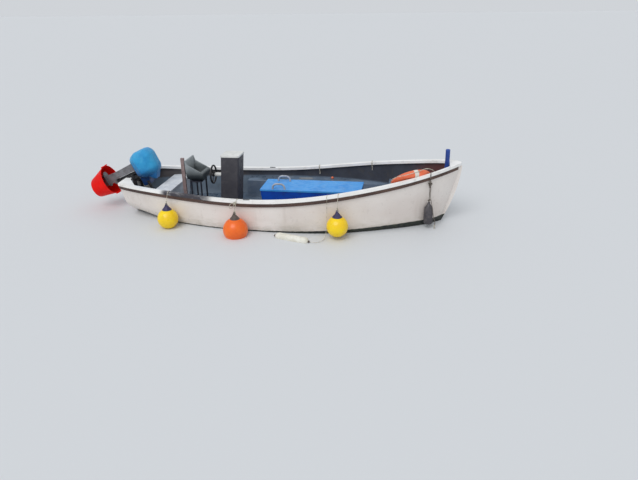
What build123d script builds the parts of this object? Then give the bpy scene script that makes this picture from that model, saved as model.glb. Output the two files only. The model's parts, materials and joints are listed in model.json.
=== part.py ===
# Open rowing boat of moulded glass fibre, about 16 feet long, afloat, with an outboard motor tilted up.
# Frame: +X to the bow, +Y to port, +Z up. The origin is on the waterline, amidships, on the centreline.
import os
from collections import namedtuple
from math import cos, hypot, pi, radians, sin, sqrt, tan

from build123d import *

os.makedirs("parts", exist_ok=True)

# Hull form: one row per section. A section's plane leans forward from the keel to the sheer.
Section = namedtuple("Section", "sheer_x keel_x half_beam sheer_z bilge_y bilge_z keel_z bilge_radius")
SECTIONS = [
    Section(-2447, -2372, 496, 545, 385, 200, -70, 190),
    Section(-2040, -1985, 606, 518, 510, 98, -128, 210),
    Section(-1600, -1575, 689, 495, 610, 5, -180, 230),
    Section(-800, -795, 817, 470, 752, -75, -230, 260),
    Section(0, 0, 859, 488, 800, -85, -250, 270),
    Section(800, 780, 807, 580, 748, -55, -250, 270),
    Section(1600, 1500, 597, 706, 505, 5, -235, 240),
    Section(2200, 1990, 290, 818, 240, 60, -205, 150),
    Section(2470, 2175, 32, 860, 28, 200, -185, 20),
]
KEEL_FLAT = 25  # half width of the flat along the hull's bottom
SHELL = 10  # thickness of the moulded hull
TRANSOM_SKIN = 14
INNER_STEM = Section(2428, 2085, 52, 850, 45, 200, -160, 30)  # fore end of the hull's hollow
RAIL_END = Section(2396, 2110, 105, 846, 0, 0, -190, 0)  # fore end of the opening between the rails
BOARD_THICK = 30  # plywood inside the transom
TRANSOM_THICK = TRANSOM_SKIN + BOARD_THICK

# Gunwale, strake and the pieces at the boat's ends
CAP_THICK = 35
CAP_WIDE = 70
INWALE_DEEP = 40
STRAKE_THICK = 22
STRAKE_DEEP = 50
STRAKE_LET_IN = 12  # how far its blank reaches up into the rail, which is cut away from it
STRAKE_END_X = 2428
KNEE_LONG = 330  # along the gunwale
STERN_PLATE = 60  # width of the knee across the transom's top
NOTCH_HALF = 215  # half width of the motor's notch in the transom
NOTCH_Z = 400

# Backbone: stem bar, keel and skeg in one
KEEL_HALF = 20
KEEL_Z = -300
SKEG_X = -2300
STEM_POINTS = [(2482, 810), (2400, 400), (2232, 0)]  # head, bulge and waterline of the stem's face
FOREFOOT = [(2205, -150), (2165, -225), (2070, -285), (1960, KEEL_Z)]
STEM_BACK = [(2150, -40), (2180, 0), (2410, 810)]  # inner side of the stem bar, hidden in the moulding

# Inside
SOLE_Z = 60
SOLE_THICK = 12
FIT = 0.4  # room between the hull's inside and what is fitted in it
SEAT_GAP = 0.3  # room left where one piece rests on another of a different shape
BENCH_Z = 330
BENCH_Y = 520
BENCH_X = (-780, 1449)
PANEL = 12
BOW_DECK_X = 1450
BOW_DECK_END = 2300
STERN_BENCH_X = (-2000, -1740)
STERN_BENCH_Z = 380
STERN_BENCH_THICK = 20
STERN_PANEL_X = (STERN_BENCH_X[0] + 25, STERN_BENCH_X[1] - 40)  # panels that carry it

# Locker seat amidships
LOCKER_X = (-370, 1079)
LOCKER_HALF = 250
LOCKER_Z = 448
LOCKER_WALL = 12
LOCKER_SLOPE = 45  # the after end leans in by this much at the sole
LID_THICK = 25
LID_GAP = 0.3
LID_OVERHANG = 8
Hoop = namedtuple("Hoop", "x y half high")
HOOPS = [Hoop(-105, -225, 88, 78), Hoop(-105, 170, 88, 78)]  # hand holds on the lid
HOOP_TUBE = 14
HINGE_RADIUS = 6
HINGE_PIN = 2.5
HINGE_LONG = 34
HINGE_X = (-120, 340, 820)
HINGE_AXIS = (LOCKER_HALF + LID_OVERHANG + HINGE_RADIUS + 0.3, LOCKER_Z - LID_THICK / 2)

# Console, wheel and seat
CONSOLE_X = (-970, -700)
CONSOLE_HALF = 150
CONSOLE_Z = 900
CONSOLE_TOP = 22
CONSOLE_WALL = 8
CONSOLE_CORNER = 25
CONSOLE_RAKE = 60  # its foot stands this far aft of its top
WHEEL_X = -1150
WHEEL_Z = 575
WHEEL_RADIUS = 130
WHEEL_RIM = 13
SEAT_X = (-1525, -1255)
SEAT_HALF = 170
SEAT_Z = 500
SEAT_BACK_Z = 815
SEAT_WING_Z = 742  # height of its sides at the back
SEAT_FRONT_Z = 622
SEAT_WALL = 24
SEAT_BELLY = 118  # radius between its sides and its bottom
SEAT_BEND = 58  # radius between its bottom and its back and front
SEAT_LEAN = 18  # its back and front lean out by this much
SEAT_LEG = 12.5

# Mooring post and lifebuoy
POST_RADIUS = 31
POST_BASE = (33, 870)  # radius and top of its thicker foot
POST_X = 2273
POST_Z = 1040
BREASTHOOK_X = POST_X + POST_BASE[0] + 0.3  # after edge of the breasthook
BUOY_X = 1776
BUOY_Z = 624
BUOY_HEADING = 29  # the ring's level diameter, turned from +X to port
BUOY_LEAN = 49  # its plane leans over to starboard from upright
BUOY_RADIUS = 246
BUOY_TUBE = 52
BUOY_CLEAR_Y = -150  # a place inboard from which the ring is moved out to the rail
GRAB_LINE = 5
Bight = namedtuple("Bight", "start end slack")
BIGHTS = [Bight(-81, 1, 12), Bight(9, 91, 60), Bight(99, 181, 45), Bight(189, 271, 12)]  # between the bands
BOW_DECK_Z = BUOY_Z - BUOY_RADIUS * cos(radians(BUOY_LEAN)) - BUOY_TUBE - 0.3  # the ring stands on it

# Fenders
Ball = namedtuple("Ball", "x z radius")
YELLOW_BALLS = [Ball(-1610, 138, 146), Ball(840, 180, 146)]
ORANGE_BALL = Ball(-562, 90, 171)
BALL_CAP = 100  # height of the moulded eye piece over the ball
EYE_RADII = (66, 15)  # of the eye piece at the ball and at its top
EYE_NECK = 24
LANYARD = 4  # radius of a fender's line
LINE_LIFT = 3  # of a line's end over the eye that it comes from
CLEAR_Y = 1100  # a place clear of the side, from which a fender is moved in
BOW_FENDER_X = 2044
BOW_FENDER_Z = 60
BOW_FENDER_RADIUS = 61
BOW_FENDER_LONG = 292
BOW_FOOT = 26  # height of its rounded foot
BOW_SHOULDER = 90  # height of its tapered top
BOW_EYE = (20, 30)  # radius and height of the eye at its top
BOW_LINE = 6  # radius of the bow fender's line
BOW_LINE_X = 2050  # where it crosses the rail
FLOAT_ENDS = ((-4, -935, 18), (470, -1088, 18))
FLOAT_RADIUS = 54
FLOAT_EYE = 28  # length of the eye at its end
FLOAT_LINE = 3  # radius of its line
FLOAT_LINE_X = 690  # where the line crosses the rail
FLOAT_TURN = 90  # length of the line's tight end outside the rail
FLOAT_ROUTE = [  # of the slack line, chosen by hand: down beside the hull and over the water to the float
    (690, -826, 473.7),
    (689, -828, 400),
    (691, -836, 326),
    (688, -844, 252),
    (689, -857, 178),
    (686, -876, 108),
    (684, -908, 48),
    (676, -956, 14),
    (652, -1022, 9),
    (610, -1078, 10),
    (552, -1104, 14),
    (497, -1096.6, 18),
]
CLEAT = (18, 24, 30)
CLEAT_DROP = 20  # of a cleat's top below the rail's
ROWLOCK_X = -430
ROWLOCK_PLATE = (90, 34, 5)
ROWLOCK_BORE = 6.75
ROWLOCK_TUBE = 10
ROWLOCK_IN = 51  # from the rail's outer edge to the socket's middle

# Outboard motor: its own frame has u forward and w up the leg, from the tilt pin
TILT = 65  # degrees that the motor is tilted up from its leg upright
PIN_X = -2400
PIN_Z = 470
PIN_RADIUS = 11
CLAMP_Y = 88
CLAMP_THICK = 24
SWIVEL_U = -75
SWIVEL_RADIUS = 32
SWIVEL_W = (-285, 85)
YOKE_GAP = 0.4
LEG_U = -135
LEG_HALF = 42
PAN_W = 110
PAN_IN = 45  # how far the lower cowl's foot lies inside its top edge
COWL_W = (205, 468)
COWL_U = (-350, 52)
COWL_HALF = 150
COWL_MIDDLE = (sum(COWL_U) / 2, 0)
COWL_CORNER = 120  # radius of its corners seen from above
COWL_ROUND = 118  # radius round its top
NOSE_U = (10, 160)  # block in front of the lower cowl, which carries the tiller
NOSE_HALF = 68
NOSE_W = 230
COWL_WALL = 5
COVER_WALL = 4
PROP_W = -560
PROP_RADIUS = 102
PLATE_W = -440
TUB_U = -148
TUB_SAG = 30  # how far the tub's bottom hangs forward of its rim's middle
TUB_W = (-678, -380)
TUB_RADII = (151, 225)
TUB_LIP = (5, 9)  # reach and depth of its rim
TUB_WALL = 5
TUB_EDGE = 16  # bevel round its bottom
TUB_GRIP = 8
SKEG_W = TUB_W[0] + TUB_WALL + 0.3
BEARING_GAP = 0.3
STEER_SHAFT = 12
PROP_SHAFT = 7
SCREW_RADIUS = 7
SCREW_Z = 335
CLAMP_LOW = 195
CLAMP_ARM_Z = 310
YOKE_LOW = 34
LEG_FRONT = SWIVEL_U - SWIVEL_RADIUS - 6
TORPEDO_RADIUS = 37
TORPEDO_U = (-205, -5)
HUB_U = (TORPEDO_U[0] - 58, TORPEDO_U[0] - BEARING_GAP)
HUB_RADIUS = 27
BLADES = 3
BladeRow = namedtuple("BladeRow", "radius wide thick turn")
BLADE_ROWS = [
    BladeRow(HUB_RADIUS - 9, 34, 8, 34),
    BladeRow(48, 54, 6, 42),
    BladeRow(82, 58, 5, 50),
    BladeRow(PROP_RADIUS - 3, 34, 3, 54),
]
ENGINE = (270, 210, 200)
TILLER_Y = -90
TILLER_W = 212
TILLER_U = 100
TILLER_RADIUS = 19
TILLER_LONG = 190
TILLER_ARM = (34, 28)  # length and height of the arm between the block and the tiller
COVER_LOW = PAN_W + 12
COVER_GAP = 0.4
COVER_OUT = COVER_GAP + COVER_WALL
COVER_FLAP = [(-60, 430), (20, 392), (80, 345), (70, 312), (42, 282), (14, 248), (-60, 226)]  # ahead, height
FLAP_HALF = 90
NOSE_GAP = 3


def section_plane(section):
    """The plane of one section: local x is to port, local y runs up from the keel to the sheer."""
    rise = section.sheer_z - section.keel_z
    run = section.sheer_x - section.keel_x
    return Plane(origin=(section.keel_x, 0, section.keel_z), x_dir=(0, 1, 0), z_dir=(rise, 0, -run))


def up_plane(section, height):
    """How far up the section's plane a height above the waterline lies."""
    rise = section.sheer_z - section.keel_z
    run = section.sheer_x - section.keel_x
    return (height - section.keel_z) * hypot(rise, run) / rise


def half_outline(section, inset):
    """The hull's half section as (sheer, bilge, keel) corners, moved in by the inset."""
    sheer = (section.half_beam - STRAKE_THICK, up_plane(section, section.sheer_z - CAP_THICK))
    bilge = (section.bilge_y, up_plane(section, section.bilge_z))
    keel = (KEEL_FLAT, 0.0)
    if section is SECTIONS[-1]:
        sheer = (section.half_beam - 8, sheer[1])
    if inset:
        sheer = (sheer[0] - inset, sheer[1])
        bilge = (bilge[0] - inset, bilge[1] + inset * 0.6)
        keel = (KEEL_FLAT, inset)
    return sheer, bilge, keel


def section_face(section, inset=0.0, above=0.0):
    """One closed hull section: topsides, rounded bilge, garboard and the flat of the keel."""
    sheer, bilge, keel = half_outline(section, inset)
    top = sheer
    if above:
        share = above / (sheer[1] - bilge[1])
        top = (sheer[0] + (sheer[0] - bilge[0]) * share, sheer[1] + above)
    radius = section.bilge_radius - inset * 0.8
    with BuildSketch(section_plane(section)) as sketch:
        with BuildLine():
            FilletPolyline(
                (-top[0], top[1]),
                (-bilge[0], bilge[1]),
                (-keel[0], keel[1]),
                (keel[0], keel[1]),
                (bilge[0], bilge[1]),
                (top[0], top[1]),
                radius=[radius, 0, 0, radius],
            )
            Line((top[0], top[1]), (-top[0], top[1]))
        make_face()
    return sketch.sketch.face()


def save(part, label):
    """Name a finished piece and write it."""
    part.label = label
    export_step(part, f"parts/{label}.step")


# Hull: the outside of the moulding, then its hollow
with BuildPart() as hull_form:
    loft([section_face(row) for row in SECTIONS])

# The hollow starts inside the transom and stops short of the stem
TRANSOM_ROW = SECTIONS[0]
INNER_TRANSOM = TRANSOM_ROW._replace(
    sheer_x=TRANSOM_ROW.sheer_x + TRANSOM_SKIN,
    keel_x=TRANSOM_ROW.keel_x + TRANSOM_SKIN,
)
INNER_SECTIONS = [INNER_TRANSOM] + SECTIONS[1:-1] + [INNER_STEM]


def hollow(inset):
    """The hull's inside as a solid, moved in from the outside by the inset."""
    with BuildPart() as inside:
        loft([section_face(row, inset=inset, above=120) for row in INNER_SECTIONS])
    return inside.part


inside_room = hollow(SHELL)
fitted_room = hollow(SHELL + FIT)

with BuildPart() as hull_shell:
    add(hull_form.part)
    add(inside_room, mode=Mode.SUBTRACT)
    with BuildSketch(Plane.XY.offset(NOTCH_Z)):
        with Locations((TRANSOM_ROW.sheer_x, 0)):
            Rectangle(400, 2 * NOTCH_HALF)
    extrude(amount=300, mode=Mode.SUBTRACT)
save(hull_shell.part, "hull_shell")

# Backbone: the stem's face, forefoot, keel and skeg, cut to the hull's skin
with BuildPart() as keel:
    with BuildSketch(Plane.XZ):
        with BuildLine():
            ThreePointArc(STEM_POINTS[0], STEM_POINTS[1], STEM_POINTS[2])
            Polyline(
                STEM_POINTS[2],
                *FOREFOOT,
                (SKEG_X, KEEL_Z),
                (SKEG_X, STEM_BACK[0][1]),
                *STEM_BACK,
                STEM_POINTS[0],
            )
        make_face()
    extrude(amount=KEEL_HALF, both=True)
    add(hull_form.part, mode=Mode.SUBTRACT)
save(keel.part, "keel")


def rail_face(section, half_wide, top, bottom):
    """A level strip across one section's plane, between two heights counted from the sheer."""
    high = up_plane(section, section.sheer_z + top)
    low = up_plane(section, section.sheer_z + bottom)
    with BuildSketch(section_plane(section)) as sketch:
        with BuildLine():
            Polyline((-half_wide, low), (half_wide, low), (half_wide, high), (-half_wide, high), close=True)
        make_face()
    return sketch.sketch.face()


# Rail: a slab over the whole sheer, from which caps, knees and breasthook are cut
with BuildPart() as rail_form:
    loft([rail_face(row, row.half_beam, 0, -INWALE_DEEP) for row in SECTIONS])
with BuildPart() as rail_opening:
    loft([rail_face(row, row.half_beam - CAP_WIDE, 40, -140) for row in SECTIONS[:-1] + [RAIL_END]])
    with BuildSketch(Plane.YZ.offset(BREASTHOOK_X)):
        Rectangle(2000, 4000)
    extrude(amount=400, mode=Mode.SUBTRACT)

with BuildPart() as cap_ring:
    add(rail_form.part)
    add(rail_opening.part, mode=Mode.SUBTRACT)
    add(hull_shell.part, mode=Mode.SUBTRACT)


def rail_at(x):
    """The rail's half beam and the height of its top at a place along the boat."""
    cut = rail_form.part & (Plane.YZ.offset(x) * Rectangle(3000, 4000))
    box = cut.bounding_box()
    return box.max.Y, box.max.Z


rowlock_beam = rail_at(ROWLOCK_X)[0]
for side, label in ((1, "gunwale_port"), (-1, "gunwale_starboard")):
    with BuildPart() as gunwale:
        with BuildSketch(Plane.XY):
            with Locations(((BREASTHOOK_X - 3000) / 2, side * 750)):
                Rectangle(BREASTHOOK_X + 3000, 1500)
        extrude(amount=1000)
        add(cap_ring.part, mode=Mode.INTERSECT)
        with BuildSketch(Plane.XY):
            with Locations((ROWLOCK_X, side * (rowlock_beam - ROWLOCK_IN))):
                Circle(ROWLOCK_TUBE + SEAT_GAP)
        extrude(amount=1000, mode=Mode.SUBTRACT)
    save(gunwale.part, label)

with BuildPart() as breasthook:
    with BuildSketch(Plane.XY):
        with Locations((BREASTHOOK_X + 200, 0)):
            Rectangle(400, 800)
    extrude(amount=1000)
    add(rail_form.part, mode=Mode.INTERSECT)
    add(hull_shell.part, mode=Mode.SUBTRACT)
save(breasthook.part, "breasthook")

for side, label in ((1, "quarter_knee_port"), (-1, "quarter_knee_starboard")):
    with BuildPart() as knee:
        with BuildSketch(Plane.XY):
            with BuildLine():
                Polyline(
                    (TRANSOM_ROW.sheer_x - 60, side * NOTCH_HALF),
                    (TRANSOM_ROW.sheer_x + STERN_PLATE, side * NOTCH_HALF),
                    (TRANSOM_ROW.sheer_x + KNEE_LONG, side * 600),
                    (TRANSOM_ROW.sheer_x - 60, side * 600),
                    close=True,
                )
            make_face()
        extrude(amount=1000)
        add(rail_form.part, mode=Mode.INTERSECT)
        add(rail_opening.part, mode=Mode.INTERSECT)
        add(hull_shell.part, mode=Mode.SUBTRACT)
    save(knee.part, label)


def strake_face(section, side):
    """One section of a rubbing strake, its faces leaning with the topsides."""
    sheer, bilge, keel_corner = half_outline(section, 0)
    slope = (sheer[0] - bilge[0]) / (sheer[1] - bilge[1])
    high = up_plane(section, section.sheer_z - INWALE_DEEP + STRAKE_LET_IN)
    low = up_plane(section, section.sheer_z - INWALE_DEEP - STRAKE_DEEP)
    outer = section.half_beam - 3
    outer_low = outer - slope * (high - low)
    inner = section.half_beam - STRAKE_THICK - 25
    with BuildSketch(section_plane(section)) as sketch:
        with BuildLine():
            Polyline(
                (side * inner, high),
                (side * outer, high),
                (side * outer_low, low),
                (side * inner, low),
                close=True,
            )
        make_face()
    return sketch.sketch.face()


for side, label in ((1, "rubbing_strake_port"), (-1, "rubbing_strake_starboard")):
    with BuildPart() as strake:
        loft([strake_face(row, side) for row in SECTIONS])
        add(hull_form.part, mode=Mode.SUBTRACT)
        add(rail_form.part, mode=Mode.SUBTRACT)
        with BuildSketch(Plane.YZ.offset(STRAKE_END_X)):
            Rectangle(2000, 4000)
        extrude(amount=400, mode=Mode.SUBTRACT)
    save(strake.part, label)


def fitted_box(low, high):
    """A box from its lowest to its highest corner, cut to the hull's inside."""
    with BuildPart() as piece:
        with BuildSketch(Plane.XY.offset(low[2])):
            with Locations(((low[0] + high[0]) / 2, (low[1] + high[1]) / 2)):
                Rectangle(high[0] - low[0], high[1] - low[1])
        extrude(amount=high[2] - low[2])
        add(fitted_room, mode=Mode.INTERSECT)
    return piece.part


# Sole, benches and bow deck, each fitted to the hull's inside
save(fitted_box((-2500, -1000, SOLE_Z - SOLE_THICK), (2300, 1000, SOLE_Z)), "sole")

for side, label in ((1, "side_bench_port"), (-1, "side_bench_starboard")):
    y_range = sorted((side * BENCH_Y, side * 1000))
    front = sorted((side * BENCH_Y, side * (BENCH_Y + PANEL)))
    with BuildPart() as bench:
        add(fitted_box((BENCH_X[0], y_range[0], BENCH_Z - PANEL), (BENCH_X[1], y_range[1], BENCH_Z)))
        add(fitted_box((BENCH_X[0], front[0], SOLE_Z), (BENCH_X[1], front[1], BENCH_Z)))
        add(fitted_box((BENCH_X[0], y_range[0], SOLE_Z), (BENCH_X[0] + PANEL, y_range[1], BENCH_Z)))
    save(bench.part, label)

with BuildPart() as bow_deck:
    add(fitted_box((BOW_DECK_X, -1000, BOW_DECK_Z - PANEL), (BOW_DECK_END, 1000, BOW_DECK_Z)))
    add(fitted_box((BOW_DECK_X, -1000, SOLE_Z), (BOW_DECK_X + PANEL, 1000, BOW_DECK_Z)))
save(bow_deck.part, "bow_deck")

with BuildPart() as stern_bench:
    seat_low = STERN_BENCH_Z - STERN_BENCH_THICK
    add(fitted_box((STERN_BENCH_X[0], -1000, seat_low), (STERN_BENCH_X[1], 1000, STERN_BENCH_Z)))
    for x in STERN_PANEL_X:
        add(fitted_box((x, -1000, SOLE_Z), (x + PANEL, 1000, STERN_BENCH_Z)))
save(stern_bench.part, "stern_bench")

# Transom board: plywood inside the moulding, notched for the motor
with BuildPart() as transom_board:
    with BuildSketch(section_plane(INNER_TRANSOM).offset(SEAT_GAP)):
        Rectangle(1600, 1118)
    extrude(amount=BOARD_THICK)
    add(fitted_room, mode=Mode.INTERSECT)
    add(rail_form.part, mode=Mode.SUBTRACT)
    with BuildSketch(Plane.XY.offset(NOTCH_Z)):
        with Locations((TRANSOM_ROW.sheer_x, 0)):
            Rectangle(400, 2 * NOTCH_HALF)
    extrude(amount=400, mode=Mode.SUBTRACT)
    with BuildSketch(Plane.XY.offset(SOLE_Z)):
        with Locations((TRANSOM_ROW.sheer_x, 0)):
            Rectangle(600, 2000)
    extrude(amount=-600, mode=Mode.SUBTRACT)
save(transom_board.part, "transom_board")

# Locker seat: a long box on the sole with a lid hinged along its port side
with BuildPart() as locker:
    with BuildSketch(Plane.XZ):
        with BuildLine():
            Polyline(
                (LOCKER_X[0] + LOCKER_SLOPE, SOLE_Z),
                (LOCKER_X[1], SOLE_Z),
                (LOCKER_X[1], LOCKER_Z - LID_THICK - LID_GAP),
                (LOCKER_X[0], LOCKER_Z - LID_THICK - LID_GAP),
                close=True,
            )
        make_face()
    extrude(amount=LOCKER_HALF, both=True)
    top_face = locker.faces().sort_by(Axis.Z)[-1]
    offset(amount=-LOCKER_WALL, openings=top_face)
save(locker.part, "locker")

with BuildPart() as lid:
    with BuildSketch(Plane.XY.offset(LOCKER_Z - LID_THICK)):
        with Locations(((LOCKER_X[0] + LOCKER_X[1]) / 2, 0)):
            RectangleRounded(
                LOCKER_X[1] - LOCKER_X[0] + 2 * LID_OVERHANG, 2 * (LOCKER_HALF + LID_OVERHANG), 12
            )
    extrude(amount=LID_THICK)
    for x in HINGE_X:
        with BuildSketch(Plane.YZ.offset(x + HINGE_LONG / 2 + SEAT_GAP)):
            with Locations(HINGE_AXIS):
                Circle(HINGE_RADIUS)
            with Locations((HINGE_AXIS[0] - HINGE_RADIUS / 2 - 2, HINGE_AXIS[1])):
                Rectangle(HINGE_RADIUS + 4, 2 * HINGE_RADIUS)
            with Locations(HINGE_AXIS):
                Circle(HINGE_PIN + BEARING_GAP, mode=Mode.SUBTRACT)
        extrude(amount=HINGE_LONG)
save(lid.part, "locker_lid")

# Hinges: a leaf on the locker's side with its knuckle and the pin
with BuildPart() as hinges:
    for x in HINGE_X:
        with BuildSketch(Plane.YZ.offset(x - HINGE_LONG / 2)):
            with BuildLine():
                Polyline(
                    (LOCKER_HALF, LOCKER_Z - LID_THICK - 38),
                    (LOCKER_HALF + 3, LOCKER_Z - LID_THICK - 38),
                    (LOCKER_HALF + 5, LOCKER_Z - LID_THICK - 15),
                    (HINGE_AXIS[0] + 4, LOCKER_Z - LID_THICK - 3),
                    (HINGE_AXIS[0] + 4, HINGE_AXIS[1]),
                    (HINGE_AXIS[0] - 4, HINGE_AXIS[1]),
                    (HINGE_AXIS[0] - 4, LOCKER_Z - LID_THICK - 1),
                    (LOCKER_HALF, LOCKER_Z - LID_THICK - 1),
                    close=True,
                )
            make_face()
            with Locations(HINGE_AXIS):
                Circle(HINGE_RADIUS)
        extrude(amount=HINGE_LONG)
        with BuildSketch(Plane.YZ.offset(x - HINGE_LONG / 2)):
            with Locations(HINGE_AXIS):
                Circle(HINGE_PIN)
        extrude(amount=2 * HINGE_LONG + 2)
save(hinges.part, "lid_hinges")

# Hand holds on the lid: bent tubes with both ends on it
with BuildPart() as hoops:
    for hoop in HOOPS:
        with BuildLine() as hoop_path:
            FilletPolyline(
                (hoop.x - hoop.half, hoop.y, LOCKER_Z),
                (hoop.x - hoop.half, hoop.y, LOCKER_Z + hoop.high),
                (hoop.x + hoop.half, hoop.y, LOCKER_Z + hoop.high),
                (hoop.x + hoop.half, hoop.y, LOCKER_Z),
                radius=hoop.high * 0.8,
            )
        with BuildSketch(Plane((hoop.x - hoop.half, hoop.y, LOCKER_Z))):
            Circle(HOOP_TUBE)
        sweep(path=hoop_path.line)
save(hoops.part, "lid_handles")

# Console with its lid, and the steering wheel on its after face
console_lean = Vector(CONSOLE_RAKE, 0, CONSOLE_Z - CONSOLE_TOP - SOLE_Z)


def console_form(inset):
    """The console's raked form moved in by the inset, open to the sole."""
    with BuildPart() as form:
        with BuildSketch(Plane.XY.offset(SOLE_Z)):
            with Locations((sum(CONSOLE_X) / 2 - CONSOLE_RAKE, 0)):
                RectangleRounded(
                    CONSOLE_X[1] - CONSOLE_X[0] - 2 * inset,
                    2 * (CONSOLE_HALF - inset),
                    CONSOLE_CORNER - inset,
                )
        extrude(amount=console_lean.length - inset, dir=console_lean)
    return form.part


with BuildPart() as console:
    add(console_form(0))
    add(console_form(CONSOLE_WALL), mode=Mode.SUBTRACT)
save(console.part, "console")

with BuildPart() as console_top:
    with BuildSketch(Plane.XY.offset(CONSOLE_Z - CONSOLE_TOP)):
        with Locations((sum(CONSOLE_X) / 2, 0)):
            RectangleRounded(CONSOLE_X[1] - CONSOLE_X[0] + 14, 2 * CONSOLE_HALF + 14, 30)
    extrude(amount=CONSOLE_TOP)
save(console_top.part, "console_top")

with BuildPart() as wheel_boss:
    with BuildSketch(Plane.YZ.offset(WHEEL_X + 32)):
        with Locations((0, WHEEL_Z)):
            Circle(30)
    extrude(amount=CONSOLE_X[0] - WHEEL_X - 32)
    add(console_form(0), mode=Mode.SUBTRACT)
    with BuildSketch(Plane.YZ.offset(WHEEL_X)):
        with Locations((0, WHEEL_Z)):
            Circle(9)
    extrude(amount=33)
save(wheel_boss.part, "wheel_boss")

with BuildPart() as wheel:
    with BuildSketch(Plane.XZ):
        with Locations((WHEEL_X, WHEEL_Z + WHEEL_RADIUS)):
            Circle(WHEEL_RIM)
    revolve(axis=Axis((WHEEL_X, 0, WHEEL_Z), (1, 0, 0)))
    with BuildSketch(Plane.YZ.offset(WHEEL_X - 14)):
        with Locations((0, WHEEL_Z)):
            Circle(34)
    extrude(amount=28)
    with BuildSketch(Plane.YZ.offset(WHEEL_X - 5)):
        with Locations((0, WHEEL_Z)):
            with PolarLocations(WHEEL_RADIUS / 2, 3):
                Rectangle(WHEEL_RADIUS, 24)
    extrude(amount=10)
    with BuildSketch(Plane.YZ.offset(WHEEL_X - 6)):
        with Locations((0, WHEEL_Z)):
            Circle(9 + BEARING_GAP)
    extrude(amount=40, mode=Mode.SUBTRACT)
save(wheel.part, "steering_wheel")

# Seat: a moulded bucket whose rim slopes down to the front, on a frame of four legs
def seat_form(inset, rim, rim_radii):
    """The bucket's form moved in by the inset, under a rim given from front to back."""
    low = SEAT_Z + inset
    half = SEAT_HALF - inset
    with BuildPart() as form:
        with BuildSketch(Plane.XZ):
            with BuildLine():
                FilletPolyline(
                    (SEAT_X[0] + inset + SEAT_LEAN, low),
                    (SEAT_X[1] - inset - SEAT_LEAN, low),
                    *rim,
                    close=True,
                    radius=[SEAT_BEND - inset, SEAT_BEND - inset, *rim_radii],
                )
            make_face()
        extrude(amount=half, both=True)
        with BuildSketch(Plane.YZ.offset(SEAT_X[0] - 50)):
            with BuildLine():
                FilletPolyline(
                    (-half, 2000),
                    (-half, low),
                    (half, low),
                    (half, 2000),
                    radius=SEAT_BELLY - inset,
                )
                Line((half, 2000), (-half, 2000))
            make_face()
        extrude(amount=SEAT_X[1] - SEAT_X[0] + 100, mode=Mode.INTERSECT)
    return form.part


seat_rim = [
    (SEAT_X[1], SEAT_FRONT_Z),
    (SEAT_X[0] + SEAT_WALL + 22, SEAT_WING_Z),
    (SEAT_X[0] + SEAT_WALL, SEAT_BACK_Z),
    (SEAT_X[0], SEAT_BACK_Z),
]
seat_mouth = [(SEAT_X[1] - SEAT_WALL, 1000), (SEAT_X[0] + SEAT_WALL, 1000)]
with BuildPart() as seat:
    add(seat_form(0, seat_rim, [25, 30, 8, 8]))
    add(seat_form(SEAT_WALL, seat_mouth, [0, 0]), mode=Mode.SUBTRACT)
save(seat.part, "helm_seat")

SEAT_LEG_X = (SEAT_X[0] + 60, SEAT_X[1] - 60)
SEAT_LEG_Y = SEAT_HALF - 55
with BuildPart() as seat_frame:
    with BuildSketch(Plane.XY.offset(SOLE_Z)):
        for x in SEAT_LEG_X:
            with Locations((x, SEAT_LEG_Y), (x, -SEAT_LEG_Y)):
                Circle(SEAT_LEG)
    extrude(amount=SEAT_Z - SOLE_Z - 20)
    with BuildSketch(Plane.XY.offset(SEAT_Z - 20)):
        with Locations((sum(SEAT_LEG_X) / 2, 0)):
            Rectangle(SEAT_LEG_X[1] - SEAT_LEG_X[0] + 30, 2 * SEAT_LEG_Y + 30)
    extrude(amount=20)
save(seat_frame.part, "seat_frame")


def rest_against(form, pieces, way):
    """How far a form moves athwart, to port (1) or starboard (-1), until it rests on some pieces."""
    travel = 0.0
    for _ in range(7):
        moved = form.moved(Location((0, way * travel, 0)))
        travel += min(moved.distance_to(piece) for piece in pieces) - SEAT_GAP
    return travel


# Mooring post, and the lifebuoy that leans on the starboard rail
with BuildPart() as post:
    with BuildSketch(Plane.XY.offset(BOW_DECK_Z)):
        with Locations((POST_X, 0)):
            Circle(POST_BASE[0])
    extrude(amount=POST_BASE[1] - BOW_DECK_Z)
    with BuildSketch(Plane.XY.offset(POST_BASE[1])):
        with Locations((POST_X, 0)):
            Circle(POST_RADIUS)
    extrude(amount=POST_Z - POST_BASE[1])
    fillet(post.edges().sort_by(Axis.Z)[-1], radius=10)
    add(hull_shell.part, mode=Mode.SUBTRACT)
save(post.part, "mooring_post")

heading = radians(BUOY_HEADING)
lean = radians(BUOY_LEAN)
buoy_level = (cos(heading), sin(heading), 0)
buoy_up = (sin(lean) * sin(heading), -sin(lean) * cos(heading), cos(lean))
buoy_face = Vector(*buoy_level).cross(Vector(*buoy_up))
buoy_clear = (BUOY_X, BUOY_CLEAR_Y, BUOY_Z)
with BuildPart() as ring_form:
    with BuildSketch(Plane(buoy_clear, x_dir=buoy_level, z_dir=-Vector(*buoy_up))):
        with Locations((BUOY_RADIUS, 0)):
            Circle(BUOY_TUBE)
    revolve(axis=Axis(buoy_clear, buoy_face))
buoy_travel = rest_against(ring_form.part, [gunwale.part], -1)
with BuildPart() as buoy:
    add(ring_form.part.moved(Location((0, -buoy_travel, 0))))
save(buoy.part, "lifebuoy")
buoy_plane = Plane(origin=(BUOY_X, BUOY_CLEAR_Y - buoy_travel, BUOY_Z), x_dir=buoy_level, z_dir=buoy_face)


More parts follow.
